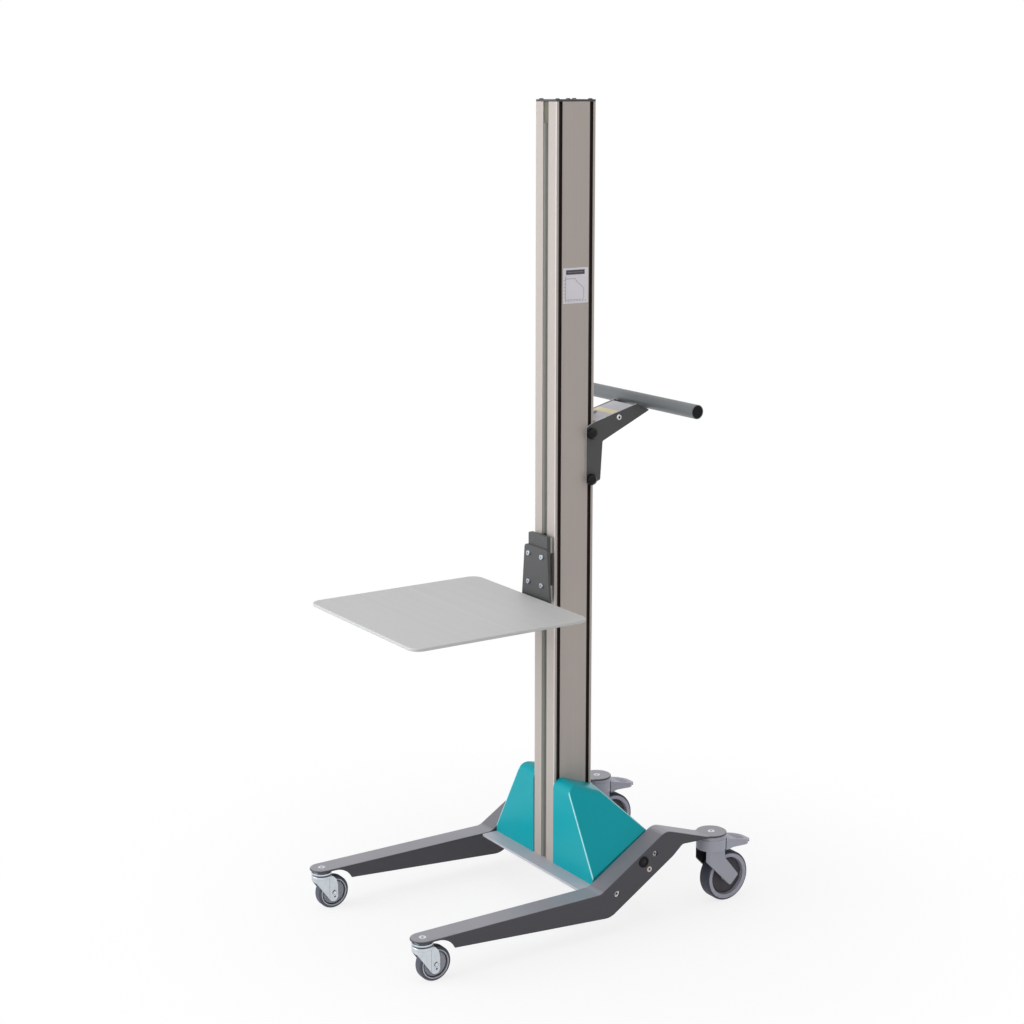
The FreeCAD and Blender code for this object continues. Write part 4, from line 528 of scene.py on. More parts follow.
def moulded_plastic(name, colour, rough=0.5, texture=0.2, dusty=0.0, gloss=0.4, inside=None):
    """Plastic from an eroded mould, with scuffed edges; inside is a hollow painted dark as shade."""
    tree, shader = new_finish(name, gloss=gloss)
    grain = use_group(tree, "fine_grain", Grain_scale=1100.0, Mottle_scale=22.0)
    edges = use_group(tree, "eased_edges", Width=0.8 * MM, Break_up=120.0)
    dust = use_group(tree, "low_dust", Top=0.15, Amount=dusty)
    scuffed = tuple(min(1.0, 1.5 * c + 0.03) for c in linear(*colour)[:3]) + (1.0,)
    base = mottled(tree, grain, colour, 0.9)
    base = blend_colour(tree, math_node(tree, "MULTIPLY", edges["Mask"], 0.3), base, scuffed)
    base = blend_colour(tree, dust["Mask"], base, PLASTIC_DUST)
    # Painted shade in the hollow
    if inside is not None:
        base = blend_colour(tree, use_group(tree, "mirrored_zone", **inside)["Mask"], base, HOLLOW_PAINTED_SHADE)
    uneven = spread(tree, grain["Mottle"], rough - 0.08, rough + 0.08)
    finish_surface(tree, shader, base, uneven, grain["Height"], texture, 0.0004, edges["Normal"])


def panel_with_bushes(name, colour, bush_colour):
    """Moulded panel whose two hollow bushes, outside the brackets, are plated metal, with painted shade in
    their bore.
    """
    tree, shader = new_finish(name, gloss=0.4)
    grain = use_group(tree, "fine_grain", Grain_scale=1100.0, Mottle_scale=22.0)
    bushes = use_group(tree, "mirrored_zone", **BUSH_ENDS)["Mask"]
    bore = use_group(tree, "rubbed_line", **BUSH_BORE)["Mask"]
    base = blend_colour(tree, bushes, mottled(tree, grain, colour, 0.9), bush_colour)
    # Painted shade in the bushes' bore
    base = blend_colour(tree, bore, base, BORE_PAINTED_SHADE)
    tree.links.new(math_node(tree, "MULTIPLY", bushes, 0.9), shader["Metallic"])
    uneven = math_node(tree, "MULTIPLY_ADD", bushes, -0.2, spread(tree, grain["Mottle"], 0.42, 0.54))
    finish_surface(tree, shader, base, uneven, grain["Height"], 0.15, 0.0004)


def rolling_rubber(name, colour, rough=0.62):
    """Tyre rubber: matt, with fine pores and floor dust ground in."""
    tree, shader = new_finish(name, gloss=0.3)
    grain = use_group(tree, "fine_grain", Grain_scale=700.0, Mottle_scale=45.0)
    dust = use_group(tree, "low_dust", Top=0.14, Amount=0.3)
    base = blend_colour(tree, dust["Mask"], mottled(tree, grain, colour, 0.82), RUBBER_DUST)
    uneven = spread(tree, grain["Mottle"], rough - 0.1, rough + 0.12)
    finish_surface(tree, shader, base, uneven, grain["Height"], 0.3, 0.0006)


def make_finishes():
    # Leg tops are painted lighter, as light from above
    powder_coat("leg_coat", (62, 60, 67), (120, 121, 124), 0.36, top=(156, 154, 161))
    powder_coat("base_coat", (196, 194, 201), (212, 212, 214), 0.42, gloss=0.4)
    # Cover: its pale edges and ridge line are a painted highlight
    powder_coat("cover_coat", (0, 165, 175), (178, 238, 240), 0.36, wear_and_highlight_share=0.4, gloss=0.2, edge_width=3.0,
                ridge=COVER_RIDGE)
    powder_coat("bracket_coat", (84, 84, 84), (128, 129, 130), gloss=0.3)
    powder_coat("handle_coat", (84, 84, 84), (128, 129, 130), gloss=0.3, cut_edge=(184, 182, 183))
    powder_coat("tube_coat", (108, 112, 114), (156, 159, 161), 0.36, gloss=0.4)
    powder_coat("cap_coat", (78, 77, 80), (110, 110, 112), 0.45, gloss=0.3)
    drawn_metal("mast_anodised", (167, 157, 150), (195, 185, 178), 0.5, (700.0, 700.0, 2.0), 0.15, True)
    drawn_metal("platform_brushed", (182, 182, 181), (204, 204, 202), 0.55, (3.0, 900.0, 900.0), 0.25)
    drawn_metal("machined", (150, 151, 153), (196, 197, 199), 0.34, (500.0, 60.0, 60.0))
    bright_zinc("zinc", (188, 194, 200), (226, 230, 234))
    # Painted shade in the fork head's grooves and along its crease
    bright_zinc("fork_zinc", (182, 190, 198), (222, 228, 232),
                painted_shade_zones=((HEAD_GROOVES, 0.9), (FORK_CREASE, 0.55)))
    bright_zinc("washer_zinc", (186, 193, 200), (222, 228, 232), crease_shade_share=0.0)
    bright_zinc("screw_steel", (186, 196, 204), (228, 234, 240), 0.24)
    bright_zinc("bolt_steel", (152, 153, 157), (194, 195, 199), 0.34)
    bright_zinc("dark_screw", (70, 68, 70), (104, 102, 104), 0.4)
    moulded_plastic("black_moulding", (18, 17, 18), gloss=0.15)
    moulded_plastic("knob_moulding", (10, 10, 11), 0.3, 0.1, gloss=0.2)
    moulded_plastic("white_moulding", (206, 206, 200), 0.45)
    panel_with_bushes("panel_moulding", (150, 149, 155), (206, 206, 204))
    moulded_plastic("bezel_moulding", (150, 149, 155), 0.45, 0.1)
    moulded_plastic("panel_film", (192, 191, 197), 0.4, 0.05)
    moulded_plastic("panel_edging", (226, 225, 225), 0.4, 0.05)
    moulded_plastic("green_cap", (58, 132, 84), 0.35, 0.05)
    moulded_plastic("pale_cap", (222, 221, 216), 0.35, 0.05)
    moulded_plastic("castor_moulding", (178, 178, 190), 0.42, 0.12, dusty=0.2)
    moulded_plastic("housing_moulding", (176, 177, 188), 0.42, 0.12, dusty=0.2, inside=HOUSING_INSIDE)
    moulded_plastic("socket_plug", (38, 36, 40), 0.4, 0.1, gloss=0.2)
    moulded_plastic("rim_moulding", (176, 176, 190), 0.42, 0.1, dusty=0.2)
    moulded_plastic("hub_disc", (68, 64, 70), 0.5, 0.1, dusty=0.1, gloss=0.25)
    moulded_plastic("front_rim_moulding", (158, 157, 168), 0.36, 0.1, dusty=0.2)
    # Painted highlight on the lip of the front rims
    moulded_plastic("bright_ring", (216, 216, 222), 0.3, 0.05)
    # Painted shade: the grooves beside the front rims, the sockets' bottoms and the crescents on the forks
    moulded_plastic("groove_shade", (52, 51, 62), 0.5, 0.1, gloss=0.2)
    rolling_rubber("front_rubber", (78, 82, 95))
    rolling_rubber("rear_rubber", (62, 65, 80))
    rolling_rubber("belt_rubber", (34, 34, 34))
    rolling_rubber("lip_rubber", (128, 128, 121), 0.6)
    # Painted shade under the mast cap, on the block at the slot's top
    moulded_plastic("end_block", (98, 96, 84), 0.5, 0.1)
    moulded_plastic("lamp_moulding", (226, 214, 204), 0.3, 0.03)
    moulded_plastic("lamp_glass", (14, 11, 11), 0.3, 0.0, gloss=0.15)
    moulded_plastic("sticker_film", (238, 235, 240), 0.4, 0.02)
    moulded_plastic("dark_print", (78, 72, 80), 0.4, 0.02)
    moulded_plastic("faint_print", (140, 132, 138), 0.4, 0.02)
    moulded_plastic("yellow_film", (232, 220, 176), 0.42, 0.03)


def both(*names):
    return tuple(name + side for name in names for side in ("_left", "_right"))


SOLIDS_IN = {
    "base_coat": ("base_frame",),
    "leg_coat": both("leg"),
    "cover_coat": both("cover"),
    "bracket_coat": ("gear_motor", "rear_cover", "carriage_body", "platform_bracket"),
    "handle_coat": both("handle_bracket"),
    "tube_coat": ("handle_tube",),
    "cap_coat": ("mast_cap",),
    "mast_anodised": ("mast_profile",),
    "platform_brushed": ("platform",),
    "machined": ("gearbox", "controller", "belt_clamp", "drive_pulley", "idler_pulley"),
    "zinc": ("idler_yoke", "clamp_nuts"),
    "fork_zinc": both("front_fork"),
    "screw_steel": ("leg_bolts", "cover_screws", "front_kingpins", "rear_kingpins", "platform_screws",
                    *both("front_axle")),
    "dark_screw": ("mast_cap_screws",),
    "black_moulding": ("drive_bearings", "batteries", "charging_socket", "tube_plugs"),
    "knob_moulding": ("knob_left_lower", "knob_left_upper", "knob_right_lower", "knob_right_upper"),
    "white_moulding": ("glide_pads", "lower_rollers", "upper_rollers"),
    "panel_moulding": ("control_panel",),
    "pale_cap": ("button_up", "button_down"),
    "lamp_moulding": ("charge_lamp",),
    "castor_moulding": both("brake_pedal"),
    "housing_moulding": both("rear_housing"),
    "rim_moulding": both("rear_wheel"),
    "front_rim_moulding": both("front_wheel"),
    "front_rubber": both("front_tyre"),
    "rear_rubber": both("rear_tyre"),
    "belt_rubber": ("drive_belt",),
}


def finish_nodes():
    """Gives every carried-over solid its finish."""
    finish_of = {name: finish for finish, names in SOLIDS_IN.items() for name in names}
    for name, node in nodes.items():
        node.data.materials.clear()
        node.data.materials.append(FINISHES[finish_of[name]])


# Shapes that the pieces are made of

SMOOTH_BELOW = math.radians(35)
EASED_ABOVE = math.radians(40)


def turned(bm, profile, centre, axis, steps=72):
    """Solid of revolution: profile points are (along the axis, radius) in millimetres."""
    axis = Vector(axis).normalized()
    side = axis.orthogonal().normalized()
    other = axis.cross(side)
    rings = []
    for along, radius in profile:
        middle = centre + axis * along * MM
        if radius == 0:
            rings.append([bm.verts.new(middle)])
            continue
        ring = []
        for i in range(steps):
            angle = 2 * math.pi * i / steps
            outward = side * math.cos(angle) + other * math.sin(angle)
            ring.append(bm.verts.new(middle + outward * radius * MM))
        rings.append(ring)
    for near, far in zip(rings, rings[1:] + rings[:1]):
        if len(near) == 1 and len(far) == 1:
            continue
        for i in range(steps):
            j = (i + 1) % steps
            corners = [near[i % len(near)], far[i % len(far)], far[j % len(far)], near[j % len(near)]]
            bm.faces.new(list(dict.fromkeys(corners)))


def pierced_plate(bm, outlines, thickness):
    """Flat plate: the first outline is its rim, the others are holes in it."""
    edges = []
    for outline in outlines:
        corners = [bm.verts.new(point) for point in outline]
        edges += [bm.edges.new(pair) for pair in zip(corners, corners[1:] + corners[:1])]
    filled = bmesh.ops.triangle_fill(bm, edges=edges, use_beauty=True)
    faces = [part for part in filled["geom"] if isinstance(part, bmesh.types.BMFace)]
    raised = bmesh.ops.extrude_face_region(bm, geom=faces, use_keep_orig=True)
    corners = [part for part in raised["geom"] if isinstance(part, bmesh.types.BMVert)]
    bmesh.ops.translate(bm, verts=corners, vec=thickness)


def swept(bm, section, start, along):
    """Straight bar: a closed section of points, carried along a vector."""
    near = [bm.verts.new(start + point) for point in section]
    far = [bm.verts.new(start + point + along) for point in section]
    bm.faces.new(near)
    bm.faces.new(far[::-1])
    for i in range(len(section)):
        j = (i + 1) % len(section)
        bm.faces.new((near[i], far[i], far[j], near[j]))


def rounded_outline(low_u, high_u, low_v, high_v, radius, steps=6):
    """Corner points of a rectangle with round corners, in its own two directions."""
    points = []
    for u, v, first in ((high_u - radius, high_v - radius, 0), (low_u + radius, high_v - radius, 90),
                        (low_u + radius, low_v + radius, 180), (high_u - radius, low_v + radius, 270)):
        for i in range(steps + 1):
            angle = math.radians(first + 90 * i / steps)
            points.append((u + radius * math.cos(angle), v + radius * math.sin(angle)))
    return points


def circle_outline(u, v, radius, steps=48):
    angles = [2 * math.pi * i / steps for i in range(steps)]
    return [(u + radius * math.cos(angle), v + radius * math.sin(angle)) for angle in angles]


def link_piece(name, mesh, body):
    """Puts a finished mesh in the scene, smooth on its gentle edges, and rides it on its body."""
    mesh.shade_smooth()
    mesh.set_sharp_from_angle(angle=SMOOTH_BELOW)
    piece = bpy.data.objects.new(name, mesh)
    bpy.context.scene.collection.objects.link(piece)
    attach(piece, body)
    return piece


def shaped_piece(name, build, finish, body, eased=0.0):
    """Makes a piece from a bmesh builder; eased is the width of a bevel on its sharp edges."""
    mesh = bpy.data.meshes.new(name)
    bm = bmesh.new()
    build(bm)
    bmesh.ops.recalc_face_normals(bm, faces=bm.faces)
    if eased:
        closed = [edge for edge in bm.edges if len(edge.link_faces) == 2]
        sharp = [edge for edge in closed if edge.calc_face_angle() > EASED_ABOVE]
        bmesh.ops.bevel(bm, geom=sharp, offset=eased * MM, segments=2, profile=0.5, affect="EDGES",
                        clamp_overlap=True)
    bm.to_mesh(mesh)
    bm.free()
    mesh.materials.append(FINISHES[finish])
    return link_piece(name, mesh, body)


# Geometry node trees for what repeats or follows a line

HEAD_SIDES = 40
SHANK_SIDES = 24
RIM_SHARE = 0.4
SHANK_OVERLAP = 0.0002


def new_tree(name, sizes):
    tree = bpy.data.node_groups.new(name, "GeometryNodeTree")
    tree.interface.new_socket("Geometry", in_out="INPUT", socket_type="NodeSocketGeometry")
    add_inputs(tree, sizes)
    tree.interface.new_socket("Finish", in_out="INPUT", socket_type="NodeSocketMaterial")
    tree.interface.new_socket("Geometry", in_out="OUTPUT", socket_type="NodeSocketGeometry")
    return tree, tree.nodes.new("NodeGroupInput").outputs


def end_tree(tree, size, geometry):
    real = add_node(tree, "GeometryNodeRealizeInstances", {"Geometry": geometry}).outputs[0]
    done = add_node(tree, "GeometryNodeSetMaterial", {"Geometry": real, "Material": size["Finish"]})
    tree.links.new(done.outputs[0], tree.nodes.new("NodeGroupOutput").inputs[0])
    return tree


def tree_cylinder(tree, vertices, radius, depth):
    links = {"Vertices": vertices, "Radius": radius, "Depth": depth}
    return add_node(tree, "GeometryNodeMeshCylinder", links).outputs[0]


def raised(tree, geometry, height):
    up = add_node(tree, "ShaderNodeCombineXYZ", {"Z": height}).outputs[0]
    return add_node(tree, "GeometryNodeTransform", {"Geometry": geometry, "Translation": up}).outputs[0]


def as_rotation(tree, turn):
    return add_node(tree, "FunctionNodeEulerToRotation", {"Euler": turn}).outputs[0]


def socket_screw_tree():
    """A screw with a domed or tapered head and a hexagon socket, at every point of the mesh."""
    tree, size = new_tree("socket_screws", {
        "Head radius": 0.0065, "Top radius": 0.0055, "Head height": 0.004, "Socket radius": 0.0028,
        "Socket depth": 0.002, "Shank radius": 0.004, "Shank length": 0.01, "Turn": (0.0, 0.0, 0.0),
    })
    rim_height = math_node(tree, "MULTIPLY", size["Head height"], RIM_SHARE)
    dome_height = math_node(tree, "MULTIPLY", size["Head height"], 1.0 - RIM_SHARE)
    rim = tree_cylinder(tree, HEAD_SIDES, size["Head radius"], rim_height)
    rim = raised(tree, rim, math_node(tree, "MULTIPLY", rim_height, 0.5))
    dome = add_node(tree, "GeometryNodeMeshCone",
                    {"Vertices": HEAD_SIDES, "Radius Top": size["Top radius"],
                     "Radius Bottom": size["Head radius"], "Depth": dome_height}).outputs[0]
    dome = raised(tree, dome, rim_height)
    shank = tree_cylinder(tree, SHANK_SIDES, size["Shank radius"], size["Shank length"])
    shank = raised(tree, shank, math_node(tree, "MULTIPLY_ADD", size["Shank length"], -0.5, SHANK_OVERLAP))
    cutter_depth = math_node(tree, "MULTIPLY", size["Socket depth"], 2.0)
    hexagon = tree_cylinder(tree, 6, size["Socket radius"], cutter_depth)
    hexagon = raised(tree, hexagon, size["Head height"])
    whole = add_node(tree, "GeometryNodeMeshBoolean", operation="UNION")
    for part in (rim, dome, shank):
        tree.links.new(part, whole.inputs["Mesh 2"])
    cut = add_node(tree, "GeometryNodeMeshBoolean", {"Mesh 1": whole.outputs[0], "Mesh 2": hexagon},
                   operation="DIFFERENCE")
    placed = add_node(tree, "GeometryNodeInstanceOnPoints",
                      {"Points": size["Geometry"], "Instance": cut.outputs[0],
                       "Rotation": as_rotation(tree, size["Turn"])})
    return end_tree(tree, size, placed.outputs[0])


def rib_ring_tree():
    """Rounded ribs along the axis of a round grip, evenly spaced round it."""
    tree, size = new_tree("rib_ring", {
        "Count": 18, "Ring radius": 0.0128, "Rib radius": 0.0011, "Rib length": 0.008,
        "Place": (0.0, 0.0, 0.0), "Turn": (0.0, 0.0, 0.0),
    })
    ring = add_node(tree, "GeometryNodeMeshCircle",
                    {"Vertices": size["Count"], "Radius": size["Ring radius"]})
    rib = tree_cylinder(tree, 10, size["Rib radius"], size["Rib length"])
    placed = add_node(tree, "GeometryNodeInstanceOnPoints", {"Points": ring.outputs[0], "Instance": rib})
    moved = add_node(tree, "GeometryNodeTransform",
                     {"Geometry": placed.outputs[0], "Translation": size["Place"],
                      "Rotation": as_rotation(tree, size["Turn"])})
    return end_tree(tree, size, moved.outputs[0])


def line_strip_tree():
    """Thin printed or moulded line along the edges of the mesh, with a flat section."""
    tree, size = new_tree("line_strips", {"Width": 0.0008, "Thickness": 0.0002, "Facing": (1.0, 0.0, 0.0)})
    path = add_node(tree, "GeometryNodeMeshToCurve", {"Mesh": size["Geometry"]})
    facing = add_node(tree, "GeometryNodeSetCurveNormal",
                      {"Curve": path.outputs[0], "Normal": size["Facing"]}, mode="FREE")
    section = add_node(tree, "GeometryNodeCurvePrimitiveQuadrilateral",
                       {"Width": size["Thickness"], "Height": size["Width"]})
    strip = add_node(tree, "GeometryNodeCurveToMesh",
                     {"Curve": facing.outputs[0], "Profile Curve": section.outputs[0], "Fill Caps": True})
    return end_tree(tree, size, strip.outputs[0])


TREES = {"socket_screws": socket_screw_tree(), "rib_ring": rib_ring_tree(), "line_strips": line_strip_tree()}


def grown_piece(name, tree_name, points, edges, finish, body, slot, **sizes):
    """Runs a tree on a few points or edges, and keeps the result as a plain mesh."""
    seed = bpy.data.meshes.new(name + "_points")
    seed.from_pydata([tuple(point) for point in points], edges, [])
    holder = bpy.data.objects.new(name + "_points", seed)
    bpy.context.scene.collection.objects.link(holder)
    modifier = holder.modifiers.new("grow", "NODES")
    modifier.node_group = TREES[tree_name]
    sizes["Finish"] = FINISHES[finish]
    for item in TREES[tree_name].interface.items_tree:
        if item.in_out == "INPUT" and item.name.replace(" ", "_") in sizes:
            modifier[item.identifier] = sizes[item.name.replace(" ", "_")]
    reading = bpy.context.evaluated_depsgraph_get()
    mesh = bpy.data.meshes.new_from_object(holder.evaluated_get(reading))
    mesh.name = name
    bpy.data.objects.remove(holder)
    return link_piece(name, mesh, body)


def pairs_of(points):
    """Edges between the first and second point, the third and fourth, and so on."""
    return [(i, i + 1) for i in range(0, len(points), 2)]


# Mast: seal lips in the front slot, and the load chart on the left face

MAST_FOOT = box_of("mast_profile")[0].z
MAST_SIDE = box_of("mast_profile")[2].x
LIP_TOP = 1905.0
LIP_SECTION = ((11.0, -54.6), (6.0, -54.9), (5.2, -54.6), (1.95, -50.7), (2.2, -50.3), (5.0, -51.6),
               (11.0, -51.8))
LIP_BLOCK = ((-11.0, -54.2), (11.0, -54.2), (11.0, -50.6), (-11.0, -50.6))
LIP_BLOCK_TOP = 1954.8
CHART_FILM = 0.25
CHART_PRINT = 0.08
CHART_PRINT_LINE = 0.06
CHART_AREA = (-35.5, 37.0, 1487.0, 1571.0)
CHART_HEADING = (-27.0, 26.3, 1555.0, 1566.0)
CHART_HEADING_LINE = (-22.0, 21.5, 1560.0, 1561.2)
CHART_FRAME = ((-28.3, 1552.0), (-28.3, 1490.0), (-28.3, 1545.3), (0.3, 1545.3), (3.1, 1539.0),
               (23.8, 1522.5), (23.8, 1496.0), (-28.3, 1496.0))
CHART_FRAME_LINES = ((0, 1), (2, 3), (3, 4), (4, 5), (5, 6), (6, 7))
CHART_FOOT_TICKS = [((-22.0 + 8.2 * i, 1493.0), (-18.6 + 8.2 * i, 1493.0)) for i in range(7)]
CHART_SIDE_TICKS = [((-32.6, 1502.0 + 8.0 * i), (-30.0, 1502.0 + 8.0 * i)) for i in range(6)]


def make_slot_lips():
    """Two rubber lips that close the front slot beside the carriage's neck, held by a block at the top whose
    darker colour is painted shade under the cap.
    """
    def bar(bm, outline, hand, low, high):
        section = [Vector((hand * x, y, 0)) * MM for x, y in outline]
        swept(bm, section, place(0, 0, low), Vector((0, 0, high - low)) * MM)

    def build_lips(bm):
        for _, hand in SIDES:
            bar(bm, LIP_SECTION, hand, MAST_FOOT, LIP_TOP)

    def build_block(bm):
        bar(bm, LIP_BLOCK, 1, LIP_TOP, LIP_BLOCK_TOP)

    shaped_piece("slot_lips", build_lips, "lip_rubber", "chassis")
    shaped_piece("slot_end_block", build_block, "end_block", "chassis", 0.4)


def on_mast_side(y, z, proud=0.0):
    return place(MAST_SIDE + proud, y, z)


def chart_plate(name, area, base, thickness, radius, finish):
    def build(bm):
        outline = [on_mast_side(y, z, base) for y, z in rounded_outline(*area, radius)]
        pierced_plate(bm, [outline], Vector((thickness * MM, 0, 0)))
    shaped_piece(name, build, finish, "chassis")


def chart_lines(name, points, pairs, width):
    places = [on_mast_side(y, z, CHART_FILM + 0.05) for y, z in points]
    grown_piece(name, "line_strips", places, pairs, "faint_print", "chassis", "black_plastic",
                Width=width * MM, Thickness=0.12 * MM, Facing=(1.0, 0.0, 0.0))


def make_load_chart():
    """Pale sticker with a dark heading bar and a load curve, without any lettering."""
    chart_plate("chart_film", CHART_AREA, 0.0, CHART_FILM, 2.0, "sticker_film")
    chart_plate("chart_heading", CHART_HEADING, CHART_FILM, CHART_PRINT, 0.6, "dark_print")
    chart_plate("chart_heading_line", CHART_HEADING_LINE, CHART_FILM + CHART_PRINT, CHART_PRINT_LINE, 0.4,
                "faint_print")
    chart_lines("chart_curve", CHART_FRAME, CHART_FRAME_LINES, 0.9)
    ticks = [point for tick in CHART_FOOT_TICKS + CHART_SIDE_TICKS for point in tick]
    chart_lines("chart_ticks", ticks, pairs_of(ticks), 1.4)


# Handle: film, stripe and edging on the control panel, bezels, arrows and knob ribs

PANEL_CORNER = (53.4, 1197.8)
PANEL_SLOPE = math.radians(14.6)
PANEL_ALONG = Vector((0, math.cos(PANEL_SLOPE), math.sin(PANEL_SLOPE)))
PANEL_UP = Vector((0, -math.sin(PANEL_SLOPE), math.cos(PANEL_SLOPE)))
PANEL_TOP = -0.5
PANEL_RUN = (10.0, 125.0)
PANEL_HALF = 43.0
FILM = 0.2
STRIPE = 0.08
STRIPE_HALF = PANEL_HALF - 0.2
STRIPE_RUN = (59.5, 80.2)
EDGE_TRIM_INSET = 0.05
EDGE_TRIM_RUN = (12.0, 124.0)
EDGE_TRIM_BASE = 0.5
EDGE_TRIM = 0.35
BUTTON_X = box_of("button_up")[1].x
BUTTON_TOP = 6.3
BUTTON_HOLE = 8.7
BEZEL_RADIUS = 11.6
BEZEL_HEIGHT = 1.4
ARROW_HALF = 3.4
ARROW_REACH = 3.6
ARROW_FOOT = 0.55
BUTTONS = (("up", 46.0, 1, "green_cap", "button_green"), ("down", 22.0, -1, "dark_print", "black_plastic"))
KNOB_RIB_DEPTH = 9.4


def on_panel(x, run, proud=0.0):
    """Point on the control panel: across it, up its slope, and above its top face."""
    corner = place(0, *PANEL_CORNER)
    return corner + Vector((x * MM, 0, 0)) + PANEL_ALONG * run * MM + PANEL_UP * (PANEL_TOP + proud) * MM


def panel_plate(name, outlines, base, thickness, finish, body, eased=0.0):
    def build(bm):
        loops = [[on_panel(x, run, base) for x, run in outline] for outline in outlines]
        pierced_plate(bm, loops, PANEL_UP * thickness * MM)
    shaped_piece(name, build, finish, body, eased)


def make_panel_overlay():
    """Printed film on the panel, with a pale yellow stripe, and pale trim on the brackets' upper edges."""
    holes = [circle_outline(BUTTON_X, run, BUTTON_HOLE) for _, run, _, _, _ in BUTTONS]
    whole = rounded_outline(-PANEL_HALF, PANEL_HALF, *PANEL_RUN, 2.0)
    panel_plate("panel_film", [whole] + holes, 0.0, FILM, "panel_film", "handle")
    stripe = rounded_outline(-STRIPE_HALF, STRIPE_HALF, *STRIPE_RUN, 0.3)
    panel_plate("panel_stripe", [stripe], FILM, STRIPE, "yellow_film", "handle")
    for side, _ in SIDES:
        low, _, high = box_of("handle_bracket_" + side)
        strip = rounded_outline(low.x + EDGE_TRIM_INSET, high.x - EDGE_TRIM_INSET, *EDGE_TRIM_RUN, 0.8)
        panel_plate("edge_trim_" + side, [strip], EDGE_TRIM_BASE, EDGE_TRIM, "panel_edging", "handle")


def make_button_trim():
    """Raised bezel round each push button, and an arrow on each button's cap."""
    for way, run, sign, finish, slot in BUTTONS:
        ring = [circle_outline(BUTTON_X, run, radius) for radius in (BEZEL_RADIUS, BUTTON_HOLE)]
        panel_plate("bezel_" + way, ring, FILM, BEZEL_HEIGHT, "bezel_moulding", "handle", 0.4)
        foot = run - sign * ARROW_FOOT * ARROW_REACH
        tip = run + sign * ARROW_REACH
        arrow = [(BUTTON_X - ARROW_HALF, foot), (BUTTON_X + ARROW_HALF, foot), (BUTTON_X, tip)]
        panel_plate("arrow_" + way, [arrow], BUTTON_TOP - 0.05, 0.3, finish, "button_" + way + "_body")


def make_knob_ribs():
    """Grip ribs round the four clamping knobs."""
    for side, hand in SIDES:
        for level in ("lower", "upper"):
            knob = "knob_" + side + "_" + level
            low, middle, high = box_of(knob)
            where = place(hand * (max(high.x, -low.x) - KNOB_RIB_DEPTH), middle.y, middle.z)
            grown_piece("knob_ribs_" + side + "_" + level, "rib_ring", [(0, 0, 0)], [], "knob_moulding",
                        knob + "_body", "black_gloss", Count=20, Ring_radius=12.7 * MM, Rib_radius=1.0 * MM,
                        Rib_length=6.8 * MM, Place=where, Turn=(0.0, QUARTER_TURN, 0.0))


# Chassis: screws with hexagon sockets, the lens of the charging lamp and the plug of the charging inlet

SCREW_MEASURES = ("Head_radius", "Top_radius", "Head_height", "Socket_radius", "Socket_depth", "Shank_radius",
                  "Shank_length")
LEG_BOLT = (6.5, 5.6, 4.0, 3.1, 2.6, 4.0, 30.0)
PANEL_SCREW = (5.0, 3.4, 2.2, 1.7, 1.4, 2.4, 8.0)
CAP_SCREW = (5.5, 3.7, 2.5, 1.8, 1.4, 2.9, 4.9)
BRACKET_SCREW = (6.5, 5.9, 5.0, 3.2, 3.0, 3.8, 5.8)
BOLT_SEAT_X = 264.5
BOLT_PLACES = ((-28.4, 99.8), (84.2, 176.3))
REAR_PANEL_Y = box_of("rear_cover")[2].y
REAR_SCREW_PLACES = ((-170, 121), (0, 121), (170, 121), (-60, 187), (60, 187))
CAP_TOP = box_of("mast_cap")[2].z
CAP_SCREW_PLACES = ((-33.0, -46.5), (-33.0, 46.5), (33.0, -46.5), (33.0, 46.5), (0.0, 6.5))
BRACKET_FRONT_Y = box_of("platform_screws")[0].y + BRACKET_SCREW[2]
BRACKET_SCREW_PLACES = ((-28, 810.8), (28, 810.8), (-28, 880.8), (28, 880.8))
LEG_FACE_X = 271.5
LENS_PROFILE = ((0.3, 0), (0.3, 2.55), (0.9, 2.55), (1.3, 2.2), (1.55, 1.3), (1.65, 0))
PLUG_PROFILE = ((0.5, 0), (0.5, 6.9), (1.3, 6.9), (1.6, 6.5), (1.6, 5.4), (1.2, 5.0), (1.2, 0))
PLUG_GRIP = (-1.1, 1.1, -4.2, 4.2, 0.9)
PLUG_GRIP_BASE = 0.9
PLUG_GRIP_HEIGHT = 1.2


def screw_piece(name, measures, points, finish, body, turn, stands_for):
    """Screws at points in millimetres; stands_for names the plain ones that they replace."""
    sizes = {label: value * MM for label, value in zip(SCREW_MEASURES, measures)}
    places = [place(*point) for point in points]
    piece = grown_piece(name, "socket_screws", places, [], finish, body, "zinc_steel", Turn=turn, **sizes)
    if stands_for:
        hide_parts(stands_for)


def make_screws():
    """Screws with a socket in the legs, the rear panel, the mast cap and the platform bracket."""
    for side, hand in SIDES:
        screw_piece("leg_socket_bolts_" + side, LEG_BOLT, [(hand * BOLT_SEAT_X, y, z) for y, z in BOLT_PLACES],
                    "bolt_steel", "chassis", (0.0, hand * QUARTER_TURN, 0.0), "leg_bolts" if hand > 0 else None)
    screw_piece("rear_panel_screws", PANEL_SCREW, [(x, REAR_PANEL_Y, z) for x, z in REAR_SCREW_PLACES],
                "screw_steel", "chassis", (-QUARTER_TURN, 0.0, 0.0), "cover_screws")
    screw_piece("mast_top_screws", CAP_SCREW, [(x, y, CAP_TOP) for x, y in CAP_SCREW_PLACES],
                "dark_screw", "chassis", (0.0, 0.0, 0.0), "mast_cap_screws")
    screw_piece("bracket_cap_screws", BRACKET_SCREW, [(x, BRACKET_FRONT_Y, z) for x, z in BRACKET_SCREW_PLACES],
                "screw_steel", "carriage", (QUARTER_TURN, 0.0, 0.0), "platform_screws")


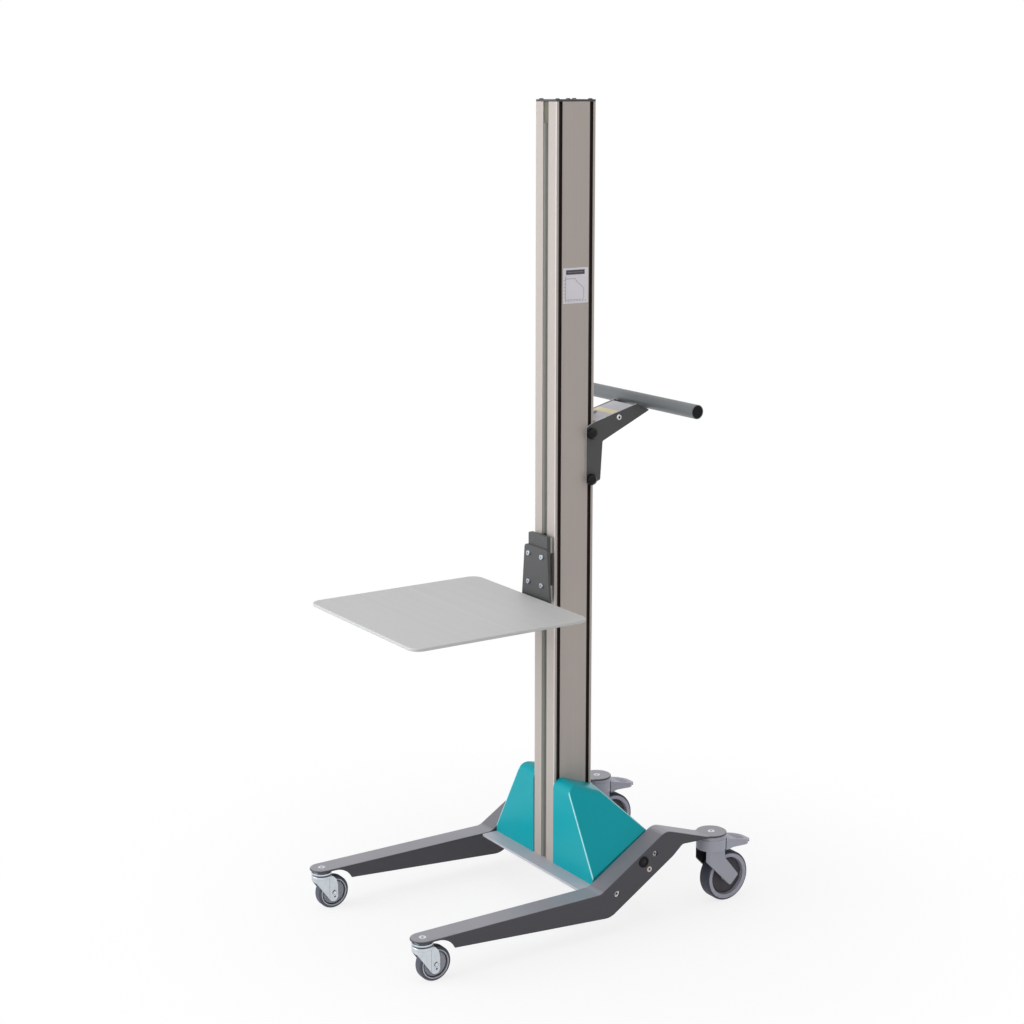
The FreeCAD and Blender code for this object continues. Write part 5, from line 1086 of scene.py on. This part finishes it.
def make_inlet_trim():
    """Dark domed lens in the ring of the charging lamp, and the dust plug of the charging inlet."""
    def on_leg(node, proud=0.0):
        middle = box_of(node)[1]
        return place(LEG_FACE_X + proud, middle.y, middle.z)

    def build_lens(bm):
        turned(bm, LENS_PROFILE, on_leg("charge_lamp"), (1, 0, 0), 32)

    def build_plug(bm):
        turned(bm, PLUG_PROFILE, on_leg("charging_socket"), (1, 0, 0), 48)
        grip = [Vector((0, y, z)) * MM for y, z in rounded_outline(*PLUG_GRIP)]
        swept(bm, grip, on_leg("charging_socket", PLUG_GRIP_BASE), Vector((PLUG_GRIP_HEIGHT * MM, 0, 0)))

    shaped_piece("charge_lamp_lens", build_lens, "lamp_glass", "chassis")
    shaped_piece("inlet_dust_plug", build_plug, "socket_plug", "chassis")


# Castors: discs and rings in the wheels, painted shadow on the front forks, painted shade in the sockets, pedal
# grips

FRONT_AXLE = box_of("front_wheel_left")[1]
REAR_AXLE = box_of("rear_wheel_left")[1]
FORK_FACE = 17.0
WASHER = 0.12
HUB_DISC = ((6.9, 13.4), (8.6, 15.0), (8.6, 38.5), (9.4, 39.5), (9.4, 42.5), (8.2, 43.5), (8.0, 46.2),
            (6.9, 46.3))
GROOVE_RING = ((7.4, 29.7), (8.2, 29.9), (8.2, 31.3), (7.4, 31.4))
RIM_HIGHLIGHT_RING = ((12.1, 31.9), (12.6, 32.2), (12.6, 33.9), (12.1, 34.2))
AXLE_WASHER = ((FORK_FACE - 0.05, 5.1), (FORK_FACE + WASHER, 5.1), (FORK_FACE + WASHER, 7.6),
               (FORK_FACE - 0.05, 7.6))
# rim_rings are a painted highlight on the rim's lip; groove_rings are painted shade in the groove beside it
WHEEL_TRIM = (
    ("rim_rings_", RIM_HIGHLIGHT_RING, FRONT_AXLE, 96, "bright_ring", "front_roll_", "front_hub_plastic"),
    ("axle_washers_", AXLE_WASHER, FRONT_AXLE, 40, "washer_zinc", "front_swivel_", "zinc_steel"),
    ("hub_discs_", HUB_DISC, REAR_AXLE, 96, "hub_disc", "rear_roll_", "rear_tyre_rubber"),
    ("groove_rings_", GROOVE_RING, FRONT_AXLE, 80, "groove_shade", "front_roll_", "front_tyre_rubber"),
)
# Painted shadow beside the front axle's head, and painted shade in the small hole below it
FORK_MARK_INNER = 4.9
FORK_MARK_OUTER = 7.3
FORK_MARK_TAPER = 0.9
FORK_MARK_ARC = (75, 185)
FORK_MARK_STEPS = 12
FORK_HOLE_Z = 31.0
FORK_HOLE_RADIUS = 2.1
PIN_SOCKET = ((-2.5, 0), (-2.5, 2.9), (-2.0, 2.9), (-2.0, 0))
BOLT_SOCKET = ((1.5, 0), (1.5, 3.0), (3.1, 3.0), (3.1, 0))
PEDAL_SLOPE = math.radians(-13.8)
PEDAL_CREST = (338.5, 158.0)
PEDAL_GRIPS = ((8.0, 19.0), (15.0, 19.0), (22.0, 19.0), (29.0, 15.0), (36.0, 15.0))


def make_wheel_trim():
    """Rings and discs on both faces of each wheel, and a washer on both sides of each front fork."""
    for side, hand in SIDES:
        for name, profile, axle, steps, finish, body, slot in WHEEL_TRIM:
            def build(bm):
                for face in (-1, 1):
                    turned(bm, profile, place(hand * axle.x, axle.y, axle.z), (face, 0, 0), steps)
            shaped_piece(name + side, build, finish, body + side)


def fork_crescent():
    """Outline of the painted crescent shadow beside the axle, from the axle's centre; thickest in its middle.
    """
    first, last = FORK_MARK_ARC
    middle = FORK_MARK_STEPS / 2
    outer, inner = [], []
    for i in range(FORK_MARK_STEPS + 1):
        angle = math.radians(first + (last - first) * i / FORK_MARK_STEPS)
        reach = FORK_MARK_INNER + FORK_MARK_TAPER * abs(i - middle) / middle
        outer.append((FORK_MARK_OUTER * math.cos(angle), FORK_MARK_OUTER * math.sin(angle)))
        inner.append((reach * math.cos(angle), reach * math.sin(angle)))
    return outer + inner[::-1]


def make_fork_painted_shade():
    """Painted shadow: a dark crescent beside the axle, and a dark disc in the small hole, on both outer faces
    of each front fork.
    """
    hole = ((-0.6, 0), (-0.6, FORK_HOLE_RADIUS), (0.0, FORK_HOLE_RADIUS), (0.0, 0))
    for side, hand in SIDES:
        def build(bm):
            for face in (-1, 1):
                x = hand * FRONT_AXLE.x + face * (FORK_FACE + WASHER)
                outline = [place(x, FRONT_AXLE.y + y, FRONT_AXLE.z + z) for y, z in fork_crescent()]
                pierced_plate(bm, [outline], Vector((face * 0.1 * MM, 0, 0)))
                turned(bm, hole, place(x - face * 0.16, FRONT_AXLE.y, FORK_HOLE_Z), (face, 0, 0), 24)
        shaped_piece("fork_marks_" + side, build, "groove_shade", "front_swivel_" + side)


def make_socket_floors():
    """Painted shade: dark discs at the bottoms of the hexagon sockets in the king pins and the leg bolts."""
    def build(bm):
        for _, hand in SIDES:
            for pins in ("front_kingpins", "rear_kingpins"):
                _, middle, high = box_of(pins)
                turned(bm, PIN_SOCKET, place(hand * FRONT_AXLE.x, middle.y, high.z), (0, 0, 1), 6)
            for y, z in BOLT_PLACES:
                turned(bm, BOLT_SOCKET, place(hand * BOLT_SEAT_X, y, z), (hand, 0, 0), 6)
    shaped_piece("socket_floors", build, "groove_shade", "chassis")


def make_pedal_grips():
    """Cross ribs near the tip of each brake pedal."""
    for side, hand in SIDES:
        points = []
        for run, half in PEDAL_GRIPS:
            y = PEDAL_CREST[0] + run * math.cos(PEDAL_SLOPE)
            z = PEDAL_CREST[1] + run * math.sin(PEDAL_SLOPE)
            points += [place(hand * REAR_AXLE.x + reach, y, z) for reach in (-half, half)]
        grown_piece("pedal_grips_" + side, "line_strips", points, pairs_of(points), "castor_moulding",
                    "rear_brake_" + side, "rear_castor_plastic", Width=2.2 * MM, Thickness=1.6 * MM,
                    Facing=(0.0, -math.sin(PEDAL_SLOPE), math.cos(PEDAL_SLOPE)))


make_camera()
make_floor()
make_world()
make_lamps()
make_finishes()
finish_nodes()
make_slot_lips()
make_load_chart()
make_panel_overlay()
make_button_trim()
make_knob_ribs()
make_screws()
make_inlet_trim()
make_wheel_trim()
make_fork_painted_shade()
make_socket_floors()
make_pedal_grips()

bpy.context.scene.view_settings.view_transform = "Standard"
